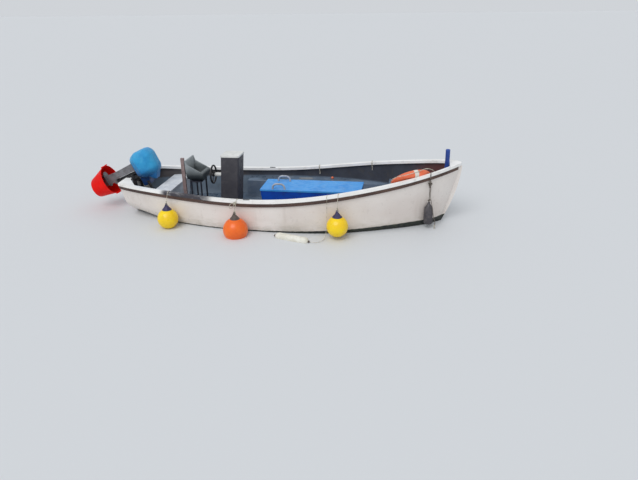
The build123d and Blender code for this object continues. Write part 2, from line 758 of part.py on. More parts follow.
# Rowlock sockets: a plate on the rail with a tube let into it
plate_z = max(rail_at(ROWLOCK_X + end * ROWLOCK_PLATE[0] / 2)[1] for end in (-1, 1)) + SEAT_GAP
with BuildPart() as rowlocks:
    for side in (1, -1):
        with BuildSketch(Plane.XY.offset(plate_z)):
            with Locations((ROWLOCK_X, side * (rowlock_beam - ROWLOCK_IN))):
                RectangleRounded(ROWLOCK_PLATE[0], ROWLOCK_PLATE[1], 12)
        extrude(amount=ROWLOCK_PLATE[2])
        with BuildSketch(Plane.XY.offset(plate_z)):
            with Locations((ROWLOCK_X, side * (rowlock_beam - ROWLOCK_IN))):
                Circle(ROWLOCK_TUBE)
        extrude(amount=-INWALE_DEEP)
        with BuildSketch(Plane.XY.offset(plate_z + 50)):
            with Locations((ROWLOCK_X, side * (rowlock_beam - ROWLOCK_IN))):
                Circle(ROWLOCK_BORE)
        extrude(amount=-150, mode=Mode.SUBTRACT)
save(rowlocks.part, "rowlock_sockets")

# Fenders: balls with a moulded eye piece, lying against the starboard side
side_pieces = [hull_shell.part, strake.part]
ball_y = {}
for ball in YELLOW_BALLS + [ORANGE_BALL]:
    ball_form = Pos(ball.x, -CLEAR_Y, ball.z) * Sphere(ball.radius)
    ball_y[ball] = -CLEAR_Y + rest_against(ball_form, side_pieces, 1)


def ball_cut(ball):
    """Height at which a ball is cut flat to take its eye piece."""
    return ball.z + sqrt(ball.radius ** 2 - EYE_RADII[0] ** 2)


def eye_top(ball):
    """Height of the top of a ball's eye piece."""
    return ball_cut(ball) + BALL_CAP


for balls, label in ((YELLOW_BALLS, "fender_balls_yellow"), ([ORANGE_BALL], "fender_ball_orange")):
    with BuildPart() as ball_fenders:
        for ball in balls:
            with Locations((ball.x, ball_y[ball], ball.z)):
                Sphere(ball.radius)
            with BuildSketch(Plane.XY.offset(ball_cut(ball))):
                with Locations((ball.x, ball_y[ball])):
                    Rectangle(2 * ball.radius, 2 * ball.radius)
            extrude(amount=ball.radius, mode=Mode.SUBTRACT)
    save(ball_fenders.part, label)

with BuildPart() as eye_pieces:
    for ball in YELLOW_BALLS + [ORANGE_BALL]:
        for height, radius in ((ball_cut(ball), EYE_RADII[0]), (eye_top(ball) - EYE_NECK, EYE_RADII[1])):
            with BuildSketch(Plane.XY.offset(height)):
                with Locations((ball.x, ball_y[ball])):
                    Circle(radius)
        loft()
        with BuildSketch(Plane.XY.offset(eye_top(ball) - EYE_NECK)):
            with Locations((ball.x, ball_y[ball])):
                Circle(EYE_RADII[1])
        extrude(amount=EYE_NECK)
save(eye_pieces.part, "fender_eye_pieces")

# Long fender at the bow, against the flare of the side
bow_fender_top = BOW_FENDER_Z + BOW_FENDER_LONG
with BuildPart() as fender_form:
    with BuildSketch(Plane((BOW_FENDER_X, -CLEAR_Y, 0), x_dir=(1, 0, 0), z_dir=(0, -1, 0))):
        with BuildLine():
            Polyline(
                (BOW_EYE[0], bow_fender_top),
                (0, bow_fender_top),
                (0, BOW_FENDER_Z),
                (BOW_FENDER_RADIUS * 0.6, BOW_FENDER_Z),
            )
            ThreePointArc(
                (BOW_FENDER_RADIUS * 0.6, BOW_FENDER_Z),
                (BOW_FENDER_RADIUS * 0.89, BOW_FENDER_Z + BOW_FOOT * 0.32),
                (BOW_FENDER_RADIUS, BOW_FENDER_Z + BOW_FOOT),
            )
            Line(
                (BOW_FENDER_RADIUS, BOW_FENDER_Z + BOW_FOOT),
                (BOW_FENDER_RADIUS, bow_fender_top - BOW_SHOULDER),
            )
            ThreePointArc(
                (BOW_FENDER_RADIUS, bow_fender_top - BOW_SHOULDER),
                (BOW_FENDER_RADIUS * 0.83, bow_fender_top - BOW_SHOULDER * 0.45),
                (BOW_EYE[0], bow_fender_top),
            )
        make_face()
    revolve(axis=Axis((BOW_FENDER_X, -CLEAR_Y, 0), (0, 0, 1)))
bow_fender_y = -CLEAR_Y + rest_against(fender_form.part, side_pieces, 1)
with BuildPart() as bow_fender:
    add(fender_form.part.moved(Location((0, bow_fender_y + CLEAR_Y, 0))))
    with BuildSketch(Plane.XY.offset(BOW_FENDER_Z + BOW_FENDER_LONG)):
        with Locations((BOW_FENDER_X, bow_fender_y)):
            Circle(BOW_EYE[0])
    extrude(amount=BOW_EYE[1])
save(bow_fender.part, "bow_fender")


def rail_lift(thick):
    """How far a line's middle lies off the rail, which runs aslant to the line near the bow."""
    return thick * 1.2 + 1


def over_rail(x, start, thick):
    """A line pulled tight: from where it starts, over the rail's cap and down to a cleat inside."""
    beam, top = rail_at(x)
    lift = rail_lift(thick)
    with BuildPart() as line:
        with BuildLine() as path:
            FilletPolyline(
                start,
                (x, -(beam + lift), top + lift),
                (x, -(beam - CAP_WIDE - lift), top + lift),
                (x, -(beam - CAP_WIDE - lift), top - CLEAT_DROP + SEAT_GAP),
                radius=[lift, lift],
            )
        with BuildSketch(Plane(origin=path.line @ 0, z_dir=path.line % 0)):
            Circle(thick)
        sweep(path=path.line)
    return line.part


ball_lines = [
    over_rail(ball.x, (ball.x, ball_y[ball], eye_top(ball) + LINE_LIFT), LANYARD)
    for ball in YELLOW_BALLS + [ORANGE_BALL]
]
with BuildPart() as lanyards:
    for line in ball_lines:
        add(line)
save(lanyards.part, "fender_lines")

bow_eye_top = BOW_FENDER_Z + BOW_FENDER_LONG + BOW_EYE[1]
bow_line = over_rail(BOW_LINE_X, (BOW_FENDER_X, bow_fender_y, bow_eye_top + LINE_LIFT), BOW_LINE)
save(bow_line, "bow_fender_line")

# Small fender afloat beside the hull, on a slack line from the rail
float_beam, float_top = rail_at(FLOAT_LINE_X)
float_exit = (FLOAT_LINE_X, -(float_beam + rail_lift(FLOAT_LINE)), float_top - FLOAT_TURN)
save(over_rail(FLOAT_LINE_X, float_exit, FLOAT_LINE), "float_line_hitch")

float_axis = (Vector(*FLOAT_ENDS[1]) - Vector(*FLOAT_ENDS[0])).normalized()
with BuildPart() as floating_fender:
    with BuildSketch(Plane(origin=FLOAT_ENDS[0], z_dir=float_axis)):
        Circle(FLOAT_RADIUS)
    extrude(amount=(Vector(*FLOAT_ENDS[1]) - Vector(*FLOAT_ENDS[0])).length)
    fillet(floating_fender.edges(), radius=30)
    for end, way in ((FLOAT_ENDS[0], -1), (FLOAT_ENDS[1], 1)):
        with BuildSketch(Plane(origin=end, z_dir=float_axis * way)):
            Circle(16)
        extrude(amount=FLOAT_EYE)
save(floating_fender.part, "floating_fender")


def corner_radii(route):
    """The radius of each corner of a route: 0.45 of its shorter run over the tangent of half the turn."""
    radii = []
    for before, corner, after in zip(route, route[1:], route[2:]):
        first = Vector(*corner) - Vector(*before)
        second = Vector(*after) - Vector(*corner)
        half_turn = radians(first.get_angle(second)) / 2
        radii.append(0.45 * min(first.length, second.length) / tan(half_turn))
    return radii


print("float line radii", [round(radius) for radius in corner_radii(FLOAT_ROUTE)])
with BuildPart() as float_line:
    with BuildLine() as route_line:
        FilletPolyline(*FLOAT_ROUTE, radius=corner_radii(FLOAT_ROUTE))
    with BuildSketch(Plane(origin=route_line.line @ 0, z_dir=route_line.line % 0)):
        Circle(FLOAT_LINE)
    sweep(path=route_line.line)
tube_length = sum(edge.length for edge in route_line.edges())
volume_length = float_line.part.volume / (pi * FLOAT_LINE ** 2)
print("float line", round(tube_length), "mm by its path,", round(volume_length), "by volume")
print("float line exit", float_exit)
save(float_line.part, "float_line")

# Cleats on the inner side of the rail, one for each line
line_x = [ball.x for ball in YELLOW_BALLS + [ORANGE_BALL]] + [BOW_LINE_X, FLOAT_LINE_X]
cleat_places = [(x, *rail_at(x)) for x in line_x]
with BuildPart() as cleats:
    for x, beam, top in cleat_places:
        with Locations((x, -(beam - CAP_WIDE), top - CLEAT_DROP - CLEAT[2] / 2)):
            Box(*CLEAT)
        with Locations((x, -(beam - CAP_WIDE - CLEAT[1] / 2), top - CLEAT_DROP - CLEAT[2] + 8)):
            Box(CLEAT[0] * 3.4, 10, 10)
    add(gunwale.part, mode=Mode.SUBTRACT)
save(cleats.part, "fender_cleats")

# Grab line of the lifebuoy: held at the bands, slack between them
grab_radius = BUOY_RADIUS + BUOY_TUBE + GRAB_LINE + SEAT_GAP
with BuildPart() as grab_line:
    for bight in BIGHTS:
        middle = (bight.start + bight.end) / 2
        slack_radius = grab_radius + bight.slack
        with BuildLine(buoy_plane) as bight_path:
            ThreePointArc(
                (grab_radius * cos(radians(bight.start)), grab_radius * sin(radians(bight.start))),
                (slack_radius * cos(radians(middle)), slack_radius * sin(radians(middle))),
                (grab_radius * cos(radians(bight.end)), grab_radius * sin(radians(bight.end))),
            )
        with BuildSketch(Plane(origin=bight_path.line @ 0, z_dir=bight_path.line % 0)):
            Circle(GRAB_LINE)
        sweep(path=bight_path.line)
save(grab_line.part, "lifebuoy_grab_line")

# Motor: planes of its own frame
MOTOR_UP = (sin(radians(TILT)), 0, cos(radians(TILT)))
MOTOR_FORE = (cos(radians(TILT)), 0, -sin(radians(TILT)))
PIN = (PIN_X, 0, PIN_Z)
LEVEL = Plane(origin=PIN, x_dir=MOTOR_FORE, z_dir=MOTOR_UP)  # local x forward, local y to port
SIDE = Plane(origin=PIN, x_dir=MOTOR_FORE, z_dir=(0, -1, 0))  # local x forward, local y up the leg


def transom_x(z):
    """The transom's outer face at a height."""
    rise = TRANSOM_ROW.sheer_z - TRANSOM_ROW.keel_z
    return TRANSOM_ROW.keel_x + (TRANSOM_ROW.sheer_x - TRANSOM_ROW.keel_x) * (z - TRANSOM_ROW.keel_z) / rise


board_face = section_plane(INNER_TRANSOM).offset(SEAT_GAP + BOARD_THICK)
screw_x = transom_x(SCREW_Z) + TRANSOM_THICK + 2 * SEAT_GAP
screw_planes = [
    Plane(origin=(screw_x, side * (CLAMP_Y + CLAMP_THICK / 2), SCREW_Z), z_dir=board_face.z_dir)
    for side in (1, -1)
]
with BuildPart() as clamps:
    for side in (1, -1):
        with BuildSketch(Plane.XZ.offset(-side * CLAMP_Y)):
            with BuildLine():
                Polyline(
                    (transom_x(CLAMP_LOW) - SEAT_GAP, CLAMP_LOW),
                    (transom_x(NOTCH_Z) - SEAT_GAP, NOTCH_Z + SEAT_GAP),
                    (transom_x(NOTCH_Z) + TRANSOM_THICK + 10, NOTCH_Z + SEAT_GAP),
                    (transom_x(CLAMP_ARM_Z) + TRANSOM_THICK + 12, CLAMP_ARM_Z),
                    (transom_x(CLAMP_ARM_Z) + TRANSOM_THICK + 36, CLAMP_ARM_Z),
                    (transom_x(NOTCH_Z) + TRANSOM_THICK + 42, NOTCH_Z + 24),
                    (PIN_X + 30, PIN_Z + 24),
                    (PIN_X - 30, PIN_Z + 24),
                    (transom_x(NOTCH_Z) - 34, NOTCH_Z + 10),
                    (transom_x(CLAMP_LOW) - 24, CLAMP_LOW),
                    close=True,
                )
            make_face()
        extrude(amount=-side * CLAMP_THICK)
    with BuildSketch(Plane.XZ.offset(-200)):
        with Locations((PIN_X, PIN_Z)):
            Circle(PIN_RADIUS)
    extrude(amount=400, mode=Mode.SUBTRACT)
    for screw_plane in screw_planes:
        with BuildSketch(screw_plane.offset(2)):
            Circle(SCREW_RADIUS + BEARING_GAP)
        extrude(amount=60, mode=Mode.SUBTRACT)
save(clamps.part, "motor_clamps")

with BuildPart() as tilt_pin:
    with BuildSketch(Plane.XZ.offset(-(CLAMP_Y + CLAMP_THICK + 12))):
        with Locations((PIN_X, PIN_Z)):
            Circle(PIN_RADIUS)
    extrude(amount=2 * (CLAMP_Y + CLAMP_THICK + 12))
save(tilt_pin.part, "tilt_pin")

with BuildPart() as clamp_screws:
    for screw_plane in screw_planes:
        for start, radius, length in ((0, 16, 6), (6, SCREW_RADIUS, 72)):
            with BuildSketch(screw_plane.offset(start)):
                Circle(radius)
            extrude(amount=length)
        with BuildSketch(screw_plane.offset(68)):
            SlotOverall(72, 12, rotation=90)
        extrude(amount=9)
save(clamp_screws.part, "clamp_screws")

# Swivel bracket: the barrel on the tilt pin and the tube that the leg turns about
with BuildPart() as swivel:
    with BuildSketch(Plane.XZ.offset(-(CLAMP_Y - BEARING_GAP))):
        with Locations((PIN_X, PIN_Z)):
            Circle(PIN_RADIUS + 14)
    extrude(amount=2 * (CLAMP_Y - BEARING_GAP))
    with BuildSketch(LEVEL.offset(SWIVEL_W[0])):
        with Locations((SWIVEL_U, 0)):
            Circle(SWIVEL_RADIUS)
    extrude(amount=SWIVEL_W[1] - SWIVEL_W[0])
    with BuildSketch(LEVEL.offset(-38)):
        with Locations((SWIVEL_U / 2, 0)):
            Rectangle(-SWIVEL_U, 100)
    extrude(amount=58)
    with BuildSketch(Plane.XZ.offset(-200)):
        with Locations((PIN_X, PIN_Z)):
            Circle(PIN_RADIUS + BEARING_GAP)
    extrude(amount=400, mode=Mode.SUBTRACT)
    with BuildSketch(LEVEL.offset(SWIVEL_W[0] - 10)):
        with Locations((SWIVEL_U, 0)):
            Circle(STEER_SHAFT + BEARING_GAP)
    extrude(amount=SWIVEL_W[1] - SWIVEL_W[0] + 20, mode=Mode.SUBTRACT)
save(swivel.part, "swivel_bracket")

# Leg: yokes above and below the swivel tube, and the housing down to the cavitation plate
with BuildPart() as leg:
    with BuildSketch(SIDE):
        with BuildLine():
            Polyline(
                (LEG_U - 105, PAN_W),
                (35, PAN_W),
                (25, SWIVEL_W[1] + YOKE_GAP),
                (LEG_FRONT, SWIVEL_W[1] + YOKE_GAP),
                (LEG_FRONT, SWIVEL_W[0] - YOKE_GAP),
                (SWIVEL_U + 30, SWIVEL_W[0] - YOKE_GAP),
                (SWIVEL_U + 26, SWIVEL_W[0] - YOKE_LOW),
                (LEG_U + 52, SWIVEL_W[0] - YOKE_LOW - 20),
                (LEG_U + 58, PLATE_W + 14),
                (LEG_U - 88, PLATE_W + 14),
                (LEG_U - 78, SWIVEL_W[0]),
                (LEG_U - 92, 40),
                close=True,
            )
        make_face()
    extrude(amount=LEG_HALF, both=True)
    with BuildSketch(LEVEL.offset(SWIVEL_W[0] - 10)):
        with Locations((SWIVEL_U, 0)):
            Circle(STEER_SHAFT)
    extrude(amount=SWIVEL_W[1] - SWIVEL_W[0] + 20)
save(leg.part, "motor_leg")

# Gearcase: cavitation plate, strut, torpedo and skeg
hub_plane = Plane(
    origin=SIDE.from_local_coords(Vector(HUB_U[0], PROP_W, 0)), x_dir=(0, 1, 0), z_dir=MOTOR_FORE
)
with BuildPart() as gearcase:
    with BuildSketch(LEVEL.offset(PLATE_W)):
        with Locations((LEG_U - 38, 0)):
            SlotOverall(240, 116)
    extrude(amount=14)
    with BuildSketch(LEVEL.offset(PLATE_W)):
        with Locations((LEG_U - 10, 0)):
            Ellipse(62, 20)
    with BuildSketch(LEVEL.offset(PROP_W)):
        with Locations((LEG_U, 0)):
            Ellipse(66, 24)
    loft()
    with BuildSketch(SIDE):
        with BuildLine():
            Polyline((TORPEDO_U[0], PROP_W), (TORPEDO_U[1], PROP_W))
            ThreePointArc(
                (TORPEDO_U[1], PROP_W),
                (TORPEDO_U[1] - 14, PROP_W + TORPEDO_RADIUS * 0.62),
                (TORPEDO_U[1] - 62, PROP_W + TORPEDO_RADIUS),
            )
            Polyline(
                (TORPEDO_U[1] - 62, PROP_W + TORPEDO_RADIUS),
                (TORPEDO_U[0] + 40, PROP_W + TORPEDO_RADIUS),
                (TORPEDO_U[0], PROP_W + TORPEDO_RADIUS - 9),
                (TORPEDO_U[0], PROP_W),
            )
        make_face()
    revolve(axis=Axis(SIDE.from_local_coords(Vector(0, PROP_W, 0)), MOTOR_FORE))
    with BuildSketch(SIDE):
        with BuildLine():
            Polyline(
                (LEG_U - 62, PROP_W - 20),
                (LEG_U + 62, PROP_W - 20),
                (LEG_U + 4, SKEG_W),
                (LEG_U - 46, SKEG_W),
                close=True,
            )
        make_face()
    extrude(amount=5, both=True)
    with BuildSketch(hub_plane):
        Circle(PROP_SHAFT)
    extrude(amount=TORPEDO_U[0] - HUB_U[0] + 10)
save(gearcase.part, "gearcase")

# Propeller: three blades on a hub behind the torpedo
blade_centre = SIDE.from_local_coords(Vector(sum(HUB_U) / 2 - 2, PROP_W, 0))
with BuildPart() as propeller:
    with BuildSketch(hub_plane):
        Circle(HUB_RADIUS)
    extrude(amount=HUB_U[1] - HUB_U[0])
    for blade in range(BLADES):
        angle = radians(90 + blade * 360 / BLADES)
        outward = Vector(0, cos(angle), 0) + Vector(*MOTOR_UP) * sin(angle)
        for row in BLADE_ROWS:
            blade_face = Plane(origin=blade_centre + outward * row.radius, x_dir=MOTOR_FORE, z_dir=outward)
            with BuildSketch(blade_face):
                Rectangle(row.wide, row.thick, rotation=row.turn)
        loft(ruled=True)
    with BuildSketch(hub_plane):
        Circle(PROP_SHAFT + BEARING_GAP)
    extrude(amount=HUB_U[1] - HUB_U[0], mode=Mode.SUBTRACT)
save(propeller.part, "propeller")

# Cowl in two parts, the block of the engine in it, and the cloth cover pulled over it


def cowl_plan(grow):
    """The cowl's outline seen from above, grown by an even width."""
    with BuildSketch() as plan:
        with Locations(COWL_MIDDLE):
            RectangleRounded(
                COWL_U[1] - COWL_U[0] + 2 * grow,
                2 * (COWL_HALF + grow),
                COWL_CORNER + grow,
            )
    return plan.sketch


def cowl_block(grow):
    """The cowl's outer form from the pan up, grown by an even thickness."""
    with BuildPart() as block:
        with BuildSketch(LEVEL.offset(COWL_W[0])):
            add(cowl_plan(grow))
        extrude(amount=COWL_W[1] - COWL_W[0] + grow)
        fillet(block.faces().sort_by(Axis(PIN, MOTOR_UP))[-1].edges(), radius=COWL_ROUND + grow)
    return block.part


def pan_block(low, grow):
    """The lower cowl's outer form from a height to its top edge, grown by an even width."""
    taper = PAN_IN * (COWL_W[0] - low) / (COWL_W[0] - PAN_W)
    with BuildPart() as block:
        with BuildSketch(LEVEL.offset(low)):
            add(cowl_plan(grow - taper))
        with BuildSketch(LEVEL.offset(COWL_W[0])):
            add(cowl_plan(grow))
        loft()
    return block.part


with BuildPart() as pan:
    add(pan_block(PAN_W, 0))
    with BuildSketch(LEVEL.offset(PAN_W)):
        with Locations((sum(NOSE_U) / 2, 0)):
            RectangleRounded(NOSE_U[1] - NOSE_U[0], 2 * NOSE_HALF, 18)
    extrude(amount=NOSE_W - PAN_W)
    add(cowl_block(COVER_GAP), mode=Mode.SUBTRACT)
save(pan.part, "lower_cowl")

with BuildPart() as cowl:
    add(cowl_block(0))
    add(cowl_block(-COWL_WALL), mode=Mode.SUBTRACT)
save(cowl.part, "cowl")

with BuildPart() as engine:
    with BuildSketch(LEVEL.offset(COWL_W[0] + SEAT_GAP)):
        with Locations(COWL_MIDDLE):
            Rectangle(ENGINE[0], ENGINE[1])
    extrude(amount=ENGINE[2])
save(engine.part, "engine_block")

with BuildPart() as cover:
    add(cowl_block(COVER_OUT))
    add(pan_block(COVER_LOW, COVER_OUT))
    with BuildSketch(SIDE):
        with BuildLine():
            Polyline([(COWL_U[1] + reach, height) for reach, height in COVER_FLAP], close=True)
        make_face()
    extrude(amount=FLAP_HALF, both=True)
    add(cowl_block(COVER_GAP), mode=Mode.SUBTRACT)
    add(pan_block(COVER_LOW - 1, COVER_GAP), mode=Mode.SUBTRACT)
    with BuildSketch(LEVEL.offset(COVER_LOW - 1)):
        with Locations((NOSE_U[1], 0)):
            Rectangle(2 * (NOSE_U[1] - NOSE_U[0]), 2 * (NOSE_HALF + NOSE_GAP))
    extrude(amount=NOSE_W + NOSE_GAP - COVER_LOW + 1, mode=Mode.SUBTRACT)
save(cover.part, "motor_cover")

# Tiller arm beside the block in front of the lower cowl
tiller_root = Plane(
    origin=SIDE.from_local_coords(Vector(TILLER_U, TILLER_W, -TILLER_Y)),
    x_dir=(0, 1, 0),
    z_dir=MOTOR_FORE,
)
with BuildPart() as tiller:
    with BuildSketch(tiller_root):
        Circle(TILLER_RADIUS)
    extrude(amount=TILLER_LONG)
    with BuildSketch(tiller_root.offset(12)):
        with Locations(((-TILLER_Y - NOSE_HALF) / 2, 0)):
            Rectangle(-TILLER_Y - NOSE_HALF, TILLER_ARM[1])
    extrude(amount=TILLER_ARM[0])
save(tiller.part, "tiller_handle")


def tub_round(w, radius):
    """A round section of the tub at a height up the leg, its middle moved by the sag."""
    share = (TUB_W[1] - w) / (TUB_W[1] - TUB_W[0])
    with BuildSketch(LEVEL.offset(w)) as section:
        with Locations((TUB_U + TUB_SAG * share, 0)):
            Circle(radius)
    return section.sketch.face()


# Flexible tub pulled over the gearcase, its bottom hanging a little
with BuildPart() as tub:
    loft([tub_round(TUB_W[0], TUB_RADII[0] - TUB_EDGE), tub_round(TUB_W[0] + TUB_EDGE, TUB_RADII[0])])
    loft([tub_round(TUB_W[0] + TUB_EDGE, TUB_RADII[0]), tub_round(TUB_W[1], TUB_RADII[1])])
    with BuildSketch(LEVEL.offset(TUB_W[1])):
        with Locations((TUB_U, 0)):
            Circle(TUB_RADII[1] + TUB_LIP[0])
    extrude(amount=-TUB_LIP[1])
    for side in (1, -1):
        grip_root = SIDE.from_local_coords(Vector(TUB_U + side * (TUB_RADII[1] - 1), TUB_W[1] - 5, 0))
        with BuildLine(Plane(origin=grip_root, x_dir=(0, 1, 0), z_dir=MOTOR_FORE)) as grip:
            FilletPolyline((-68, 0), (-50, 42), (50, 42), (68, 0), radius=24)
        with BuildSketch(Plane(origin=grip.line @ 0, z_dir=grip.line % 0)):
            Circle(TUB_GRIP)
        sweep(path=grip.line)
    loft(
        [
            tub_round(TUB_W[0] + TUB_WALL, TUB_RADII[0] - TUB_WALL - TUB_EDGE),
            tub_round(TUB_W[0] + TUB_EDGE + TUB_WALL, TUB_RADII[0] - TUB_WALL),
        ],
        mode=Mode.SUBTRACT,
    )
    loft(
        [
            tub_round(TUB_W[0] + TUB_EDGE + TUB_WALL, TUB_RADII[0] - TUB_WALL),
            tub_round(TUB_W[1], TUB_RADII[1] - TUB_WALL),
        ],
        mode=Mode.SUBTRACT,
    )
    with BuildSketch(LEVEL.offset(TUB_W[1])):
        with Locations((TUB_U, 0)):
            Circle(TUB_RADII[1] - TUB_WALL)
    extrude(amount=1, mode=Mode.SUBTRACT)
save(tub.part, "propeller_tub")
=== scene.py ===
"""Looks of an open boat of moulded glass fibre afloat, with its outboard motor tilted up.

Metres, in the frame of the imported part: +X to the bow, +Y to port, +Z up, the waterline at zero.
"""

import json
from collections import namedtuple
from math import atan2, ceil, cos, pi, radians, sin

import bmesh
import bpy
from mathutils import Matrix, Vector, noise
from mathutils.bvhtree import BVHTree

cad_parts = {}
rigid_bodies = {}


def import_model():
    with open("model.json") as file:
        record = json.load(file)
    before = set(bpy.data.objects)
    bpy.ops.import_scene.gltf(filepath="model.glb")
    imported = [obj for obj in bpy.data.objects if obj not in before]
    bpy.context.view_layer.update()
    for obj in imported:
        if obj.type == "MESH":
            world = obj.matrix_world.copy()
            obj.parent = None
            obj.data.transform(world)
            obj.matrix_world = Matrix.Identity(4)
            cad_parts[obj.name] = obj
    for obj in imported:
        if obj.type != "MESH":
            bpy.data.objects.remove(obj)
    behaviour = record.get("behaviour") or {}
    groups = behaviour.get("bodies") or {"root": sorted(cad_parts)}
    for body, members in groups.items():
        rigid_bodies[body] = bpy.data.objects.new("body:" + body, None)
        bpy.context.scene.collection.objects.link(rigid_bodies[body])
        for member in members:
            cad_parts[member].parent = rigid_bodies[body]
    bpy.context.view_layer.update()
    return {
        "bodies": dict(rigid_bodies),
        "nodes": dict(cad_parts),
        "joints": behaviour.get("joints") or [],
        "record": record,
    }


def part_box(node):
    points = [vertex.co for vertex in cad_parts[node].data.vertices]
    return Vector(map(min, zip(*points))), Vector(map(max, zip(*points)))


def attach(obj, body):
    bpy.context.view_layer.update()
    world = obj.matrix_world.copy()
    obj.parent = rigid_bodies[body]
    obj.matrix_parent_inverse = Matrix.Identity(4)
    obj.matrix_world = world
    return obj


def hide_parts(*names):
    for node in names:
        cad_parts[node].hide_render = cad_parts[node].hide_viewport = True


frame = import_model()
nodes = frame["nodes"]

MM = 0.001
FORE = Vector((1, 0, 0))
PORT = Vector((0, 1, 0))
UP = Vector((0, 0, 1))

# Motor's own frame: u runs forward, w up the leg, from the tilt pin
PIN = Vector((-2.4, 0, 0.47))
TILT = radians(65)
MOTOR_UP = Vector((sin(TILT), 0, cos(TILT)))
MOTOR_FORE = Vector((cos(TILT), 0, -sin(TILT)))


def motor_point(u, y, w):
    """A point of the motor's frame as a point of the boat's."""
    return PIN + MOTOR_FORE * u + PORT * y + MOTOR_UP * w


# Camera: placed at the height and distance that the picture's perspective gives
CAMERA_PLACE = Vector((1.883, -8.547, 3.226))
CAMERA_YAW = radians(-9.608)
CAMERA_PITCH = radians(22.787)
CAMERA_ROLL = radians(-1.053)
FOCAL_PIXELS = 617.79
PICTURE_WIDE = 638


def make_camera():
    """The camera at the picture's viewing angle."""
    data = bpy.data.cameras.new("camera")
    data.sensor_width = 36
    data.lens = FOCAL_PIXELS * data.sensor_width / PICTURE_WIDE
    camera = bpy.data.objects.new("camera", data)
    bpy.context.collection.objects.link(camera)
    flat = cos(CAMERA_PITCH)
    ahead = Vector((sin(CAMERA_YAW) * flat, cos(CAMERA_YAW) * flat, -sin(CAMERA_PITCH)))
    level = Vector((cos(CAMERA_YAW), -sin(CAMERA_YAW), 0))
    upright = level.cross(ahead)
    right = level * cos(CAMERA_ROLL) + upright * sin(CAMERA_ROLL)
    top = upright * cos(CAMERA_ROLL) - level * sin(CAMERA_ROLL)
    turned = Matrix((right, top, -ahead)).transposed().to_4x4()
    camera.matrix_world = Matrix.Translation(CAMERA_PLACE) @ turned
    bpy.context.scene.camera = camera


def srgb(red, green, blue):
    """A colour given as it looks in a picture, from 0 to 255, in linear light."""

    def linear(value):
        value /= 255
        return value / 12.92 if value <= 0.04045 else ((value + 0.055) / 1.055) ** 2.4

    return (linear(red), linear(green), linear(blue), 1.0)


class Paint:
    """One material, with short calls for the nodes that its look is made of."""

    def __init__(self, name, rough=0.5, metal=0.0, coat=0.0, specular=0.5):
        self.material = bpy.data.materials.new(name)
        self.material.use_nodes = True
        self.tree = self.material.node_tree
        self.shader = self.tree.nodes["Principled BSDF"]
        self.place = self.add("ShaderNodeTexCoord").outputs["Object"]
        self.shader.inputs["Roughness"].default_value = rough
        self.shader.inputs["Metallic"].default_value = metal
        self.shader.inputs["Coat Weight"].default_value = coat
        self.shader.inputs["Specular IOR Level"].default_value = specular

    def add(self, kind, inputs=None, **settings):
        """A new node with its settings, and its inputs by name or number."""
        node = self.tree.nodes.new(kind)
        for name, value in settings.items():
            setattr(node, name, value)
        for name, value in (inputs or {}).items():
            self.feed(node.inputs[name], value)
        return node

    def feed(self, socket, value):
        """Link an output, or write a plain value, to an input."""
        if isinstance(value, bpy.types.NodeSocket):
            self.tree.links.new(value, socket)
        else:
            socket.default_value = value

    def noise(self, scale, detail, along=None):
        """Soft noise from 0 to 1, finer with a larger scale, and finer along X, Y and Z by three amounts."""
        place = self.place
        if along:
            place = self.add("ShaderNodeMapping", {"Vector": place, "Scale": along}).outputs["Vector"]
        inputs = {"Scale": scale, "Detail": detail, "Vector": place}
        return self.add("ShaderNodeTexNoise", inputs).outputs["Fac"]

    def spots(self, scale):
        """Distance to the nearest of many scattered points."""
        return self.add("ShaderNodeTexVoronoi", {"Scale": scale, "Vector": self.place}).outputs["Distance"]

    def wave(self, scale, along):
        """Parallel bands across one direction."""
        inputs = {"Scale": scale, "Vector": self.place}
        return self.add("ShaderNodeTexWave", inputs, bands_direction=along).outputs["Fac"]

    def axis(self, name):
        """One coordinate of the place, in metres."""
        return self.add("ShaderNodeSeparateXYZ", {"Vector": self.place}).outputs[name]

    def math(self, operation, first, second):
        return self.add("ShaderNodeMath", {0: first, 1: second}, operation=operation).outputs["Value"]

    def plus(self, first, second):
        return self.math("ADD", first, second)

    def times(self, first, second):
        return self.math("MULTIPLY", first, second)

    def span(self, value, low, high, start=0.0, end=1.0):
        """A value's range turned smoothly into another range."""
        inputs = {"Value": value, "From Min": low, "From Max": high, "To Min": start, "To Max": end}
        return self.add("ShaderNodeMapRange", inputs, interpolation_type="SMOOTHSTEP").outputs["Result"]

    def patches(self, scale, detail, low=0.35, high=0.7, share=1.0, along=None):
        """Patches with soft edges, from 0 between them to a share inside them."""
        return self.span(self.noise(scale, detail, along), low, high, 0, share)

    def wander(self, scale, low, high):
        """A value that wanders between two others over the surface."""
        return self.span(self.noise(scale, 6), 0.3, 0.7, low, high)

    def ragged(self, value, scale, reach):
        """A value moved up and down by a noise, to make an edge ragged."""
        return self.plus(value, self.span(self.noise(scale, 4), 0, 1, -reach, reach))

    def mix(self, share, first, second):
        """One colour over another, each an output or three numbers from 0 to 255."""
        first, second = [srgb(*colour) if isinstance(colour, tuple) else colour for colour in (first, second)]
        return self.add("ShaderNodeMix", {"Factor": share, 6: first, 7: second}, data_type="RGBA").outputs[2]

    def finish(self, colour, rough, height, depth, soft_edge=0.0):
        """The material with its colour and roughness, a relief in metres and edges rounded by a radius."""
        bump = {"Height": height, "Distance": depth}
        if soft_edge:
            bump["Normal"] = self.add("ShaderNodeBevel", {"Radius": soft_edge}, samples=4).outputs["Normal"]
        self.feed(self.shader.inputs["Base Color"], colour)
        self.feed(self.shader.inputs["Roughness"], rough)
        self.feed(self.shader.inputs["Normal"], self.add("ShaderNodeBump", bump).outputs["Normal"])
        return self.material


